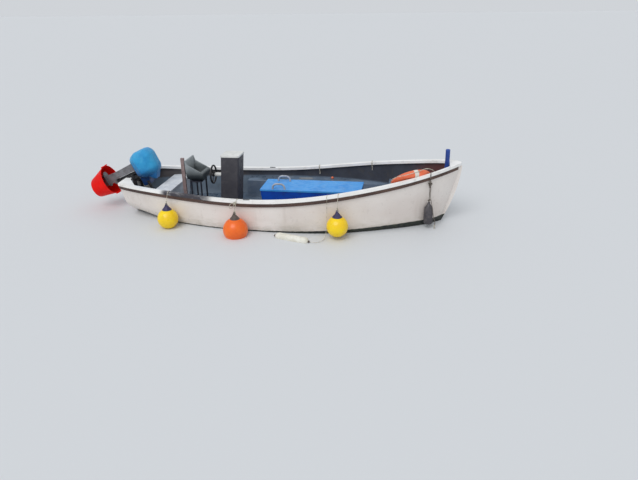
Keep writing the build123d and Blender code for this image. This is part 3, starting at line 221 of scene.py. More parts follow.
# Rows of what plain_paint takes: colours run from 0 to 255, and depth and edge are in millimetres
FINISHES = {
    "ply_white": ((196, 192, 184), (168, 163, 154), 5, (96, 84, 70), 0.5, (0.45, 0.7), 90, 0.6, 3),
    "bench_grey": ((226, 229, 234), (208, 212, 219), 6, (140, 138, 134), 0.35, (0.4, 0.7), 70, 0.6, 4),
    "locker_blue": ((8, 76, 184), (6, 64, 164), 4, (20, 40, 84), 0.3, (0.35, 0.6), 60, 0.5, 2),
    "lid_blue": ((72, 160, 232), (58, 146, 222), 4, (140, 170, 196), 0.25, (0.35, 0.6), 60, 0.5, 3),
    "hoop_grey": ((176, 180, 188), (156, 160, 170), 12, (110, 108, 104), 0.3, (0.35, 0.55), 120, 0.3),
    "galvanised": ((150, 152, 154), (118, 121, 124), 60, (110, 82, 58), 0.35, (0.35, 0.6), 200, 0.3, 1, 0.9),
    "console_grey": ((72, 70, 75), (64, 62, 68), 5, (104, 102, 100), 0.3, (0.45, 0.7), 220, 0.6, 6),
    "console_white": ((226, 226, 222), (210, 210, 206), 6, (140, 134, 122), 0.3, (0.35, 0.6), 100, 0.4, 5),
    "black_plastic": ((34, 34, 38), (26, 26, 30), 18, (82, 80, 78), 0.25, (0.4, 0.65), 260, 0.3, 1),
    "seat_frame_dark": ((44, 48, 60), (34, 37, 48), 20, (92, 66, 50), 0.35, (0.4, 0.65), 150, 0.3, 1),
    "post_blue": ((34, 76, 160), (26, 60, 138), 14, (110, 126, 154), 0.35, (0.3, 0.55), 120, 0.4, 2),
    "fender_yellow": (
        (252, 216, 4), (248, 204, 2), 7, (176, 146, 30), 0.22, (0.25, 0.42), 90, 0.4, 0, 0, 0.15,
    ),
    "fender_orange": (
        (246, 112, 18), (238, 100, 12), 7, (168, 84, 30), 0.22, (0.28, 0.45), 90, 0.4, 0, 0, 0.15,
    ),
    "fender_eye": ((62, 56, 96), (48, 43, 78), 25, (96, 90, 92), 0.3, (0.4, 0.6), 160, 0.4),
    "fender_eye_brown": ((96, 82, 74), (78, 66, 60), 25, (120, 110, 98), 0.3, (0.4, 0.6), 160, 0.4),
    "fender_dark": ((84, 80, 84), (66, 63, 68), 14, (112, 106, 98), 0.4, (0.5, 0.75), 90, 0.8),
    "fender_white": (
        (232, 230, 220), (220, 216, 202), 10, (150, 146, 116), 0.3, (0.3, 0.5), 90, 0.4, 0, 0, 0.1,
    ),
    "motor_grey": ((134, 134, 138), (112, 111, 114), 12, (84, 70, 58), 0.5, (0.35, 0.6), 120, 0.5, 6, 0.3),
    "motor_black": ((42, 42, 45), (32, 32, 35), 18, (98, 86, 72), 0.35, (0.35, 0.6), 140, 0.5, 2, 0.2),
    "motor_blue": ((20, 62, 118), (14, 48, 96), 9, (62, 66, 70), 0.35, (0.3, 0.5), 120, 0.3, 6, 0.1, 0.2),
    "tub_red": ((240, 12, 0), (222, 8, 0), 5, (160, 14, 6), 0.22, (0.4, 0.6), 80, 0.6, 0, 0, 0, 0.15),
    "propeller_metal": ((120, 122, 126), (92, 94, 98), 26, (70, 62, 50), 0.45, (0.3, 0.5), 160, 0.4, 1, 0.8),
    "buoy_orange": ((242, 124, 84), (232, 110, 72), 8, (150, 90, 66), 0.35, (0.45, 0.65), 120, 0.5),
    "board_brown": ((156, 134, 132), (132, 112, 110), 9, (86, 70, 68), 0.45, (0.5, 0.75), 120, 0.6, 2),
    "buoy_white": ((230, 226, 218), (214, 208, 198), 14, (150, 140, 124), 0.35, (0.5, 0.7), 150, 0.4),
}


def plain_paint(
    name, base, other, patch, dirt, dirt_share, rough, grain, depth, edge=0, metal=0, coat=0, specular=0.5
):
    """A finish of patches of two colours, dirt in the hollows of a noise, and fine grain.

    Patch and grain are how fine those are, dirt_share is how much dirt covers, rough is a range, depth is
    the grain's and edge is the radius of rounded edges.
    """
    paint = Paint(name, metal=metal, coat=coat, specular=specular)
    body = paint.mix(paint.patches(patch, 5, 0.35, 0.65), base, other)
    body = paint.mix(paint.patches(patch * 2.6, 8, 0.5, 0.78, dirt_share), body, dirt)
    return paint.finish(body, paint.wander(patch * 4, *rough), paint.noise(grain, 6), depth * MM, edge * MM)


# The antifouling's upper edge climbs from aft to fore, and stains fade out above it
BOTTOM_X = (-0.6, 2.4)
BOTTOM_Z = (0.022, 0.098)
STAIN_Z = (0.26, 0.02)


def hull_paint():
    """Weathered white gelcoat, stained above the water, with dark antifouling from the waterline down."""
    paint = Paint("hull_white", coat=0.1)
    height = paint.axis("Z")
    body = paint.mix(paint.patches(1.6, 4), (232, 225, 219), (219, 209, 202))
    body = paint.mix(paint.patches(9, 6, 0.58, 0.82, 0.32, along=(1, 1, 0.12)), body, (184, 168, 154))
    low = paint.span(height, *STAIN_Z, 0, 0.5)
    scum = paint.times(low, paint.patches(7, 8, 0.3, 0.75, along=(1, 1, 2.5)))
    body = paint.mix(scum, body, (176, 168, 150))
    marks = paint.times(paint.span(paint.spots(26), 0.07, 0.02), paint.patches(2.2, 2, 0.58, 0.66))
    body = paint.mix(marks, body, (96, 84, 76))
    edge = paint.ragged(paint.span(paint.axis("X"), *BOTTOM_X, *BOTTOM_Z), 14, 0.006)
    under = paint.span(paint.math("SUBTRACT", edge, height), 0, 0.004)
    body = paint.mix(under, body, paint.mix(paint.patches(18, 8), (26, 30, 30), (46, 52, 40)))
    rough = paint.plus(paint.wander(20, 0.26, 0.42), paint.times(under, 0.3))
    return paint.finish(body, rough, paint.noise(3.5, 3), 0.004, 0.002)


# Where the inside's colours change: reddish at the bow, brownish aft, and slate low down below a painted
# shade under the rail
INSIDE_BOW_X = (1.7, 2.1)
INSIDE_AFT_X = (-0.95, -0.75)
INSIDE_LOW_Z = (0.36, 0.32)


def inside_paint():
    """The hull's inside: painted shade on the side under the rail, reddish at the bow, brownish aft, slate
    low down.
    """
    paint = Paint("inside_paint")
    along = paint.axis("X")
    # Painted shade: these dark colours stand for the shade on the side under the rail, tinted reddish at the
    # bow and brownish aft
    dark = paint.mix(paint.patches(4, 6), (60, 64, 74), (48, 51, 61))
    dark = paint.mix(paint.span(along, *INSIDE_BOW_X), dark, (86, 46, 44))
    slate = paint.mix(paint.patches(3, 6), (114, 130, 148), (94, 110, 128))
    aft = paint.span(along, *INSIDE_AFT_X, 1, 0)
    dark = paint.mix(aft, dark, paint.mix(paint.patches(5, 6), (84, 78, 78), (66, 62, 64)))
    slate = paint.mix(aft, slate, (112, 126, 140))
    # Painted shade above these heights, slate paint below them
    body = paint.mix(paint.span(paint.axis("Z"), *INSIDE_LOW_Z), dark, slate)
    body = paint.mix(paint.patches(9, 8, 0.5, 0.8, 0.5), body, (70, 66, 60))
    return paint.finish(body, paint.wander(12, 0.5, 0.75), paint.noise(60, 8), 0.0012)


# The stretch of the starboard rail that is dark grey, with soft ends
RAIL_GREY = (-1.71, -0.975)
RAIL_GREY_FADE = (0.06, 0.08)
STARBOARD_Y = (-0.5, -0.6)


def rail_paint():
    """White capping with rounded edges, dark grey over one stretch of the starboard side."""
    paint = Paint("rail_white", coat=0.1)
    along = paint.axis("X")
    body = paint.mix(paint.patches(3, 5), (249, 248, 246), (238, 236, 232))
    body = paint.mix(paint.patches(11, 8, 0.55, 0.82, 0.4), body, (160, 150, 136))
    starboard = paint.span(paint.axis("Y"), *STARBOARD_Y)
    aft_end, fore_end = RAIL_GREY
    aft_fade, fore_fade = RAIL_GREY_FADE
    fore = paint.span(along, fore_end + fore_fade, fore_end - fore_fade)
    aft = paint.span(along, aft_end - aft_fade, aft_end + aft_fade)
    # The rail turns dark grey over this stretch
    grey_stretch = paint.times(paint.times(fore, aft), starboard)
    grey_stretch = paint.times(grey_stretch, paint.span(paint.noise(14, 6), 0.28, 0.5, 0.75, 1))
    body = paint.mix(grey_stretch, body, (58, 55, 63))
    return paint.finish(body, paint.wander(20, 0.28, 0.5), paint.noise(40, 5), 0.0008, 0.006)


def strake_paint():
    """Dark rubbing strip, brown where it has faded."""
    paint = Paint("strake_black")
    body = paint.mix(paint.patches(6, 6, along=(0.4, 1, 1)), (66, 48, 44), (92, 68, 58))
    body = paint.mix(paint.patches(26, 8, 0.58, 0.76, 0.6, along=(0.3, 1, 1)), body, (128, 116, 108))
    return paint.finish(body, paint.wander(20, 0.45, 0.7), paint.noise(70, 6), 0.0008, 0.005)


def deck_paint():
    """Slate deck paint: worn pale in places, darker where damp, with grit."""
    paint = Paint("slate_paint")
    body = paint.mix(paint.patches(2.4, 6, 0.36, 0.66), (112, 128, 147), (93, 109, 128))
    body = paint.mix(paint.patches(7, 9, 0.5, 0.72, 0.7), body, (128, 140, 154))
    damp = paint.patches(1.7, 4, 0.52, 0.6, along=(1, 2, 1))
    body = paint.mix(paint.times(damp, 0.45), body, (58, 70, 84))
    body = paint.mix(paint.span(paint.spots(55), 0.09, 0.03, 0, 0.5), body, (128, 120, 104))
    rough = paint.math("SUBTRACT", paint.wander(14, 0.5, 0.7), paint.times(damp, 0.3))
    return paint.finish(body, rough, paint.noise(130, 6), 0.0012, 0.003)


SEAT_SHADE_Z = (0.74, 0.55)  # heights between which the seat turns from pale to dark


def seat_paint():
    """Grey moulded seat: pale along its top and darkened low down by painted shade, with scattered darker
    patches.
    """
    paint = Paint("seat_grey")
    body = paint.mix(paint.patches(6, 5, 0.35, 0.65), (156, 162, 164), (136, 143, 146))
    # Painted shade: the seat's rounded sides turn darker towards the bottom
    low = paint.span(paint.ragged(paint.axis("Z"), 8, 0.03), *SEAT_SHADE_Z)
    body = paint.mix(low, body, (54, 60, 63))
    body = paint.mix(paint.patches(16, 8, 0.52, 0.8, 0.4), body, (72, 74, 72))
    return paint.finish(body, paint.wander(22, 0.38, 0.62), paint.noise(120, 6), 0.0005, 0.008)


def rope_paint(name, pale, dark):
    """Laid rope: fibres along the strands, grime in the hollows."""
    paint = Paint(name)
    paint.shader.inputs["Sheen Weight"].default_value = 0.2
    fibre = paint.noise(900, 3)
    body = paint.mix(paint.patches(30, 6), pale, dark)
    body = paint.mix(paint.span(fibre, 0.45, 0.75, 0, 0.35), body, dark)
    return paint.finish(body, 0.85, fibre, 0.0004)


CLOTH_SHADE_Z = (0.76, 0.52)  # heights between which the cloth turns from pale to dark
WEAVE = 300


def cloth_paint():
    """Coated cloth: a fine weave, paler in patches, with painted shade lower down and small dark patches of
    painted shade meant for its folds.
    """
    paint = Paint("cover_blue")
    paint.shader.inputs["Sheen Weight"].default_value = 0.15
    body = paint.mix(paint.patches(5, 4, 0.35, 0.65), (38, 162, 216), (24, 144, 204))
    body = paint.mix(paint.patches(9, 6, 0.5, 0.8, 0.5), body, (96, 190, 222))
    # Painted shade: the cloth turns darker lower down, where it is less lit
    body = paint.mix(paint.span(paint.axis("Z"), *CLOTH_SHADE_Z, 0, 0.8), body, (6, 92, 164))
    # Small dark patches of painted shade, meant for the folds
    body = paint.mix(paint.patches(40, 6, 0.56, 0.8, 0.3), body, (18, 100, 150))
    weave = paint.plus(paint.plus(paint.wave(WEAVE, "X"), paint.wave(WEAVE, "Y")), paint.wave(WEAVE, "Z"))
    crease = paint.times(paint.noise(22, 5), 8.0)
    return paint.finish(body, paint.wander(20, 0.42, 0.62), paint.plus(weave, crease), 0.0006)


materials = {name: plain_paint(name, *row) for name, row in FINISHES.items()}
materials |= {
    "hull_white": hull_paint(),
    "inside": inside_paint(),
    "rail_white": rail_paint(),
    "strake_black": strake_paint(),
    "slate_paint": deck_paint(),
    "seat_grey": seat_paint(),
    "rope_pale": rope_paint("rope_pale", (214, 208, 192), (150, 142, 126)),
    "rope_dark": rope_paint("rope_dark", (128, 118, 108), (78, 70, 64)),
    "cover_blue": cloth_paint(),
}

# The CAD nodes whose shape stays, by their finish
NODES_OF_FINISH = {
    "hull_white": "keel",
    "rail_white": "gunwale_port gunwale_starboard breasthook quarter_knee_port quarter_knee_starboard",
    "strake_black": "rubbing_strake_port rubbing_strake_starboard",
    "slate_paint": "sole side_bench_port side_bench_starboard bow_deck",
    "bench_grey": "stern_bench",
    "ply_white": "transom_board",
    "locker_blue": "locker",
    "lid_blue": "locker_lid",
    "hoop_grey": "lid_handles",
    "console_grey": "console",
    "console_white": "console_top wheel_boss",
    "black_plastic": "steering_wheel",
    "seat_grey": "helm_seat",
    "seat_frame_dark": "seat_frame",
    "post_blue": "mooring_post",
    "galvanised": "lid_hinges rowlock_sockets fender_cleats tilt_pin clamp_screws",
    "motor_black": "motor_clamps swivel_bracket engine_block tiller_handle",
    "motor_grey": "motor_leg gearcase",
    "motor_blue": "lower_cowl cowl",
    "propeller_metal": "propeller",
}


def paint_nodes():
    """Give each CAD node that stays its material."""
    for finish, names in NODES_OF_FINISH.items():
        for name in names.split():
            slots = nodes[name].data.materials
            slots.clear()
            slots.append(materials[finish])


def paint_hull():
    """Give the hull two paints: a face is outside where it looks away from the middle."""
    mesh = nodes["hull_shell"].data
    mesh.materials.clear()
    mesh.materials.append(materials["hull_white"])
    mesh.materials.append(materials["inside"])
    for face in mesh.polygons:
        middle = Vector((face.center.x * 0.9, 0, 0.6))
        face.material_index = 0 if face.normal.dot(face.center - middle) > 0 else 1


def make_piece(name, vertices, faces, finish, body, smooth=True):
    """A mesh as a piece of the boat, with its finish, riding on a body."""
    mesh = bpy.data.meshes.new(name)
    mesh.from_pydata(vertices, [], faces)
    mesh.update()
    outward = bmesh.new()
    outward.from_mesh(mesh)
    bmesh.ops.recalc_face_normals(outward, faces=outward.faces)
    outward.to_mesh(mesh)
    outward.free()
    for face in mesh.polygons:
        face.use_smooth = smooth
    mesh.materials.append(materials[finish])
    piece = bpy.data.objects.new(name, mesh)
    bpy.context.collection.objects.link(piece)
    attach(piece, body)
    return piece


def turns(count):
    """Angles round a full turn in equal steps."""
    return [2 * pi * step / count for step in range(count)]


def circle(centre, across, other, radius, sides):
    """Points round a centre, in the plane of two directions."""
    return [centre + (across * cos(angle) + other * sin(angle)) * radius for angle in turns(sides)]


# Laid rope: sides of its section, the length of one turn in radii, and the depth between its three strands
ROPE_SIDES = 15
ROPE_LAY = 7
STRAND_DEEP = 0.28


class Shape:
    """Vertices and faces gathered from several forms, for one piece."""

    def __init__(self):
        self.vertices = []
        self.faces = []

    def rings(self, rings, closed=False):
        """Rings of points joined one to the next, closed in a loop or capped at both ends."""
        start = len(self.vertices)
        sides = len(rings[0])
        for ring in rings:
            self.vertices.extend(tuple(point) for point in ring)
        count = len(rings)
        for row in range(count if closed else count - 1):
            low = start + row * sides
            high = start + (row + 1) % count * sides
            for side in range(sides):
                after = (side + 1) % sides
                self.faces.append((low + side, low + after, high + after, high + side))
        if not closed:
            self.faces.append(tuple(start + side for side in reversed(range(sides))))
            self.faces.append(tuple(start + (count - 1) * sides + side for side in range(sides)))

    def lathe(self, place, along, profile, sides):
        """A profile of (distance, radius) pairs turned about an axis."""
        along = along.normalized()
        across = along.orthogonal().normalized()
        other = along.cross(across)
        self.rings([circle(place + along * far, across, other, radius, sides) for far, radius in profile])

    def tube(self, points, radius, sides, closed=False):
        """A round tube along a line of points."""
        self.rings([circle(*frame, radius, sides) for frame in line_frames(points, closed)], closed)

    def rope(self, points, radius, closed=False):
        """A laid rope along a line of points: a section with three lobes, for its strands, that turns."""
        rings = []
        travelled = 0.0
        before = None
        for centre, across, other in line_frames(points, closed):
            if before is not None:
                travelled += (centre - before).length
            before = centre
            turn = 2 * pi * travelled / (radius * ROPE_LAY)
            ring = []
            for angle in turns(ROPE_SIDES):
                reach = radius * (1 - STRAND_DEEP * (1 - abs(cos(1.5 * angle))))
                spun = angle + turn
                ring.append(centre + (across * cos(spun) + other * sin(spun)) * reach)
            rings.append(ring)
        self.rings(rings, closed)

    def ribs(self, place, profile, count, radius, turn=0.0, sunk=0.0):
        """Thin ribs up an upright form with a profile, spread evenly round it."""
        for angle in turns(count):
            way = Vector((cos(angle + turn), sin(angle + turn), 0))
            line = [place + way * (reach - sunk) + UP * height for height, reach in profile]
            self.tube(spread(line, 0.02), radius, 8)

    def piece(self, name, finish, stands_for=None, body="hull", smooth=True):
        """The forms as one piece, which stands for a CAD node where one is named."""
        piece = make_piece(name, self.vertices, self.faces, finish, body, smooth)
        if stands_for:
            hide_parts(stands_for)
        return piece


def line_frames(points, closed=False):
    """Each point of a line with two directions across it that turn as little as possible."""
    points = [Vector(point) for point in points]
    count = len(points)
    frames = []
    across = None
    for place, centre in enumerate(points):
        ahead = points[(place + 1) % count] if closed or place + 1 < count else centre
        behind = points[place - 1] if closed or place else centre
        along = (ahead - behind).normalized()
        if across is None:
            across = along.orthogonal().normalized()
        across = (across - along * across.dot(along)).normalized()
        frames.append((centre, across, along.cross(across)))
    return frames


def spread(points, step):
    """Points along straight runs, no further apart than a step."""
    line = [Vector(points[0])]
    for start, end in zip(points, points[1:]):
        start, end = Vector(start), Vector(end)
        parts = max(1, ceil((end - start).length / step))
        line.extend(start.lerp(end, part / parts) for part in range(1, parts + 1))
    return line


def smooth_line(points, step):
    """A smooth curve near the points, as evenly spaced points no further apart than a step."""
    curve = bpy.data.curves.new("smooth_line", "CURVE")
    curve.dimensions = "3D"
    curve.resolution_u = 12
    spline = curve.splines.new("NURBS")
    spline.points.add(len(points) - 1)
    for knot, point in zip(spline.points, points):
        knot.co = (*point, 1.0)
    spline.order_u = 3
    spline.use_endpoint_u = True
    carrier = bpy.data.objects.new("smooth_line", curve)
    bpy.context.collection.objects.link(carrier)
    bpy.context.view_layer.update()
    mesh = bpy.data.meshes.new_from_object(carrier.evaluated_get(bpy.context.evaluated_depsgraph_get()))
    line = [vertex.co.copy() for vertex in mesh.vertices]
    bpy.data.meshes.remove(mesh)
    bpy.data.objects.remove(carrier)
    bpy.data.curves.remove(curve)
    return spread(line, step)


def surface_of(name):
    """A CAD node's surface, to find where a ray meets it."""
    mesh = nodes[name].data
    places = [vertex.co.copy() for vertex in mesh.vertices]
    return BVHTree.FromPolygons(places, [tuple(face.vertices) for face in mesh.polygons])


rail_surface = surface_of("gunwale_starboard")
CAP_WIDE = 0.07
CLEAT_DROP = 0.02

# Rays that find the rail start above it and outboard of it, and step in
RAY_OUT = 2.0
RAY_FIRST_Y = -1.08
RAY_STEP = 0.005
RAY_COUNT = 200
RAY_BELOW_TOP = 0.012


def rail_at(x):
    """Half beam and top height of the starboard rail at a place along the boat."""
    top = rail_height(x)
    side = rail_surface.ray_cast(Vector((x, -RAY_OUT, top - RAY_BELOW_TOP)), PORT)[0]
    return -side.y, top


def rail_height(x):
    """Height of the rail's top, found by a ray from above that steps in from outboard."""
    for step in range(RAY_COUNT):
        hit = rail_surface.ray_cast(Vector((x, RAY_FIRST_Y + step * RAY_STEP, RAY_OUT)), -UP)[0]
        if hit is not None:
            return hit.z
    return 0.0


# The slack line's route, the same points as its solid has
FLOAT_ROUTE = [
    (0.690, -0.826, 0.4737), (0.689, -0.828, 0.400), (0.691, -0.836, 0.326), (0.688, -0.844, 0.252),
    (0.689, -0.857, 0.178), (0.686, -0.876, 0.108), (0.684, -0.908, 0.048), (0.676, -0.956, 0.014),
    (0.652, -1.022, 0.009), (0.610, -1.078, 0.010), (0.552, -1.104, 0.014), (0.497, -1.0966, 0.018),
]
FLOAT_LINE_RADIUS = 0.003
FLOAT_EXIT = (0.690, -0.82603, 0.47405)

# The longest steps of a rope's line, on straight runs and round bends
RUN_STEP = 0.004
BEND_STEP = 0.003


def make_float_line():
    """The slack line of the small fender afloat, as a laid cord along its route."""
    line = smooth_line(FLOAT_ROUTE, RUN_STEP)
    shape = Shape()
    shape.rope(line, FLOAT_LINE_RADIUS)
    cord = shape.piece("float_line_laid", "rope_pale", "float_line")


def over_rail(x, start, radius):
    """The line of a rope pulled tight from its start over the rail's cap to the cleat inside."""
    beam, top = rail_at(x)
    lift = radius * 1.2 + 0.001
    outer = -(beam + lift)
    inner = -(beam - CAP_WIDE - lift)
    high, low = top + lift, top - 2 * lift
    out = [Vector((x, y, z)) for y, z in ((outer, low), (outer, high), (2 * lift - beam, high))]
    over = [Vector((x, y, z)) for y, z in ((inner - 2 * lift, high), (inner, high), (inner, low))]
    line = spread([start, out[0]], RUN_STEP)
    line += smooth_line(out, BEND_STEP)[1:]
    line += spread([out[-1], over[0]], RUN_STEP)[1:]
    line += smooth_line(over, BEND_STEP)[1:]
    line += spread([over[-1], (x, inner, top - CLEAT_DROP)], RUN_STEP)[1:]
    return line


def knot_line(place, size, along, turn=0.0):
    """A small closed knot about a place, its middle along a direction."""
    along = Vector(along).normalized()
    across = Matrix.Rotation(turn, 3, along) @ along.orthogonal().normalized()
    other = along.cross(across)
    line = []
    for angle in turns(60):
        flat = Vector((sin(angle) + 2 * sin(2 * angle), cos(angle) - 2 * cos(2 * angle), -sin(3 * angle)))
        line.append(place + (across * flat.x + other * flat.z + along * flat.y) * (size / 3))
    return line


# Ball fenders: radii, and places along the boat and up
Ball = namedtuple("Ball", "place radius finish eye")
YELLOW_RADIUS = 0.146
YELLOW_PLACES = ((-1.61, 0.138), (0.84, 0.18))
ORANGE_RADIUS = 0.171
ORANGE_PLACE = (-0.562, 0.09)
EYE_RADIUS = 0.066
EYE_HIGH = 0.100


def ball_places():
    """The three ball fenders, with their places athwart from their solids."""
    yellow = nodes["fender_balls_yellow"].data.vertices
    balls = []
    for x, z in YELLOW_PLACES:
        outer = min(vertex.co.y for vertex in yellow if abs(vertex.co.x - x) < 2 * YELLOW_RADIUS)
        place = Vector((x, outer + YELLOW_RADIUS, z))
        balls.append(Ball(place, YELLOW_RADIUS, "fender_yellow", "fender_eye"))
    x, z = ORANGE_PLACE
    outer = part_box("fender_ball_orange")[0].y
    place = Vector((x, outer + ORANGE_RADIUS, z))
    balls.append(Ball(place, ORANGE_RADIUS, "fender_orange", "fender_eye_brown"))
    return balls


BALLS = ball_places()

# A ball's seam just above its middle and its shallow neck below the eye: angles, and depths in radii
SEAM_ANGLE = 0.02
SEAM_DEEP = 0.006
NECK_ANGLE = 0.22
NECK_DEEP = 0.012
BALL_ROWS = 72


def eye_base(ball):
    """Height of the eye piece's foot above a ball's middle."""
    return (ball.radius**2 - EYE_RADIUS**2) ** 0.5


def ball_profile(ball):
    """An inflated ball from its foot up to its eye piece."""
    cut = atan2(eye_base(ball), EYE_RADIUS)
    profile = []
    for row in range(BALL_ROWS + 1):
        angle = -pi / 2 + (cut + pi / 2) * row / BALL_ROWS
        reach = ball.radius * (1 - SEAM_DEEP * (abs(angle - SEAM_ANGLE) < SEAM_ANGLE))
        near_eye = max(0.0, (angle - cut + NECK_ANGLE) / NECK_ANGLE)
        reach *= 1 - NECK_DEEP * sin(near_eye * pi)
        profile.append((reach * sin(angle), max(reach * cos(angle), 0.0005)))
    return profile


def make_balls():
    """Inflated balls with a seam, by their colour."""
    for finish, name, node in (
        ("fender_yellow", "yellow_balls", "fender_balls_yellow"),
        ("fender_orange", "orange_ball", "fender_ball_orange"),
    ):
        shape = Shape()
        for ball in BALLS:
            if ball.finish == finish:
                shape.lathe(ball.place, UP, ball_profile(ball), 96)
        shape.piece(name, finish, node)


# Eye pieces: the skirt by height and radius, and its row from which it has ribs
EYE_PROFILE = (
    (-0.012, 0.056), (-0.004, 0.0655), (0.002, 0.0672), (0.008, 0.0650), (0.013, 0.0580), (0.022, 0.0480),
    (0.034, 0.0375), (0.047, 0.0285), (0.060, 0.0215), (0.072, 0.0170), (0.080, 0.0150),
)
EYE_RIB_ROW = 4


def make_eyes():
    """Moulded eye pieces on the balls: a flange, a flaring ribbed skirt and a ring for the line."""
    for finish, name, node in (
        ("fender_eye", "eyes_purple", "fender_eye_pieces"),
        ("fender_eye_brown", "eye_brown", None),
    ):
        shape = Shape()
        for ball in [ball for ball in BALLS if ball.eye == finish]:
            base = ball.place + UP * eye_base(ball)
            shape.lathe(base, UP, EYE_PROFILE, sides=56)
            shape.ribs(base, EYE_PROFILE[EYE_RIB_ROW:], count=10, radius=0.0034, turn=0.2)
            ring = circle(base + UP * 0.0885, FORE, UP, radius=0.0100, sides=40)
            shape.tube(ring, radius=0.0052, sides=12, closed=True)
        shape.piece(name, finish, node)


# Radii of the balls' lines and of the bow fender's, and points of a ball line's loose end from its eye
LANYARD = 0.004
BOW_LINE = 0.006
LANYARD_TAIL = ((0.012, -0.008, 0.010), (0.020, -0.012, -0.012), (0.019, -0.013, -0.040))


def make_ball_lines():
    """Tight lanyards of the ball fenders, with a knot above each eye and a hitch at the rail."""
    shape = Shape()
    for ball in BALLS:
        eye = ball.place + UP * (eye_base(ball) + EYE_HIGH + 0.003)
        line = over_rail(eye.x, eye, LANYARD)
        shape.rope(line, LANYARD)
        shape.rope(circle(eye - UP * 0.013, PORT * 0.0075, UP * 0.015, 1, 36), LANYARD, closed=True)
        along = (line[3] - line[0]).normalized()
        shape.rope(knot_line(eye + along * 0.016, 0.012, along), LANYARD * 0.9, closed=True)
        tail = [eye + along * 0.018] + [eye + Vector(point) for point in LANYARD_TAIL]
        shape.rope(smooth_line(tail, RUN_STEP), LANYARD * 0.85)
    shape.piece("ball_lanyards", "rope_pale", "fender_lines")


# The orange ball's spare line: points of its loop from its knot
ORANGE_LOOP = (
    (0, 0, 0), (-0.05, -0.012, 0.005), (-0.085, -0.010, -0.05),
    (-0.055, -0.008, -0.085), (-0.02, -0.010, -0.045), (0, -0.004, -0.005),
)


def make_orange_loop():
    """The orange fender's spare line, made up in a knotted loop at the rail."""
    x = BALLS[-1].place.x
    beam, top = rail_at(x)
    knot = Vector((x - 0.02, -(beam + 0.016), top - 0.035))
    shape = Shape()
    shape.rope(knot_line(knot, 0.024, (1, 0, 0.4)), 0.005, closed=True)
    shape.rope(smooth_line([knot + Vector(point) for point in ORANGE_LOOP], RUN_STEP), 0.0045)
    shape.piece("orange_fender_loop", "rope_pale")


# Bow fender: radii at heights above its foot, then at heights from its eye's foot, and the rows with ribs
BOW_FENDER_RADIUS = 0.061
BOW_EYE_HIGH = 0.030
BOW_FOOT = (
    (0.000, 0.001), (0.000, 0.030), (0.002, 0.0410), (0.008, 0.0530), (0.016, 0.0588),
    (0.026, BOW_FENDER_RADIUS), (0.070, 0.0606), (0.130, BOW_FENDER_RADIUS),
)
BOW_TOP = (
    (-0.092, 0.0606), (-0.076, 0.0590), (-0.058, 0.0550), (-0.040, 0.0490), (-0.022, 0.0385),
    (-0.008, 0.0265), (0.000, 0.0215), (0.008, 0.0185), (0.022, 0.0175), (BOW_EYE_HIGH, 0.0120),
)
BOW_RIB_ROWS = slice(5, 12)


def bow_fender_axis():
    """The bow fender's axis, and the heights of its foot and of its eye's top."""
    low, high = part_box("bow_fender")
    return (low.x + high.x) / 2, (low.y + high.y) / 2, low.z, high.z


def make_bow_fender():
    """Long dark fender: a round foot, moulded ribs, a tapered top and an eye."""
    x, y, low, high = bow_fender_axis()
    top = high - BOW_EYE_HIGH
    profile = [(low + height, radius) for height, radius in BOW_FOOT]
    profile += [(top + height, radius) for height, radius in BOW_TOP]
    shape = Shape()
    axis = Vector((x, y, 0))
    shape.lathe(axis, UP, profile, sides=72)
    shape.ribs(axis, profile[BOW_RIB_ROWS], count=14, radius=0.0030, sunk=0.0012)
    shape.piece("bow_fender_moulded", "fender_dark", "bow_fender")


# Bow line: its place along the boat, and its knots by distance along it, size and turn
BOW_LINE_X = 2.050
BOW_KNOTS = ((0.020, 0.018, 0.0), (0.235, 0.026, 0.8), (0.262, 0.028, 2.0), (0.288, 0.022, 1.2))
# Its loose strand: down beside the line by distance along it, X and Y, then past the fender from its top
STRAND_BY_LINE = ((0.30, 0.0, -0.008), (0.22, 0.014, -0.014), (0.12, 0.010, -0.016), (0.02, 0.026, -0.026))
STRAND_BY_FENDER = (
    (0.052, -0.048, -0.07), (0.066, -0.040, -0.17), (0.080, -0.036, -0.24), (0.098, -0.034, -0.29),
    (0.092, -0.032, -0.35),
)
STRAND_STEP = 0.006
# The yarns of its frayed end, by direction and length
FRAY = ((0.3, 0.050), (1.6, 0.040), (2.7, 0.046), (4.1, 0.036), (5.2, 0.044))


def make_bow_line():
    """Grey line of the bow fender over the rail, with its knots and a strand hanging past the fender."""
    x, y, low, high = bow_fender_axis()
    start = Vector((x, y, high + 0.003))
    line = over_rail(BOW_LINE_X, start, BOW_LINE)
    along = (line[4] - line[0]).normalized()
    shape = Shape()
    shape.rope(line, BOW_LINE)
    for distance, size, turn in BOW_KNOTS:
        shape.rope(knot_line(start + along * distance, size, along, turn), BOW_LINE, closed=True)
    hang = [start + along * distance + Vector((ahead, out, 0)) for distance, ahead, out in STRAND_BY_LINE]
    hang += [Vector((x, y, high)) + Vector(point) for point in STRAND_BY_FENDER]
    strand = smooth_line(hang, STRAND_STEP)
    shape.rope(strand, BOW_LINE * 0.8)
    shape.piece("bow_fender_rope", "rope_dark", "bow_fender_line")
    end = strand[-1]
    frayed = Shape()
    for turn, long in FRAY:
        way = Vector((cos(turn) * 0.014, sin(turn) * 0.010, -long))
        bend = Vector((sin(turn * 2) * 0.006, 0, 0))
        yarn = smooth_line([end, end + way * 0.5 + bend, end + way], STRAND_STEP)
        frayed.tube(yarn, radius=0.0022, sides=8)
    frayed.rope(knot_line(end + UP * 0.012, 0.013, (0, 0, 1)), BOW_LINE * 0.7, closed=True)
    frayed.piece("bow_line_tail", "rope_pale")


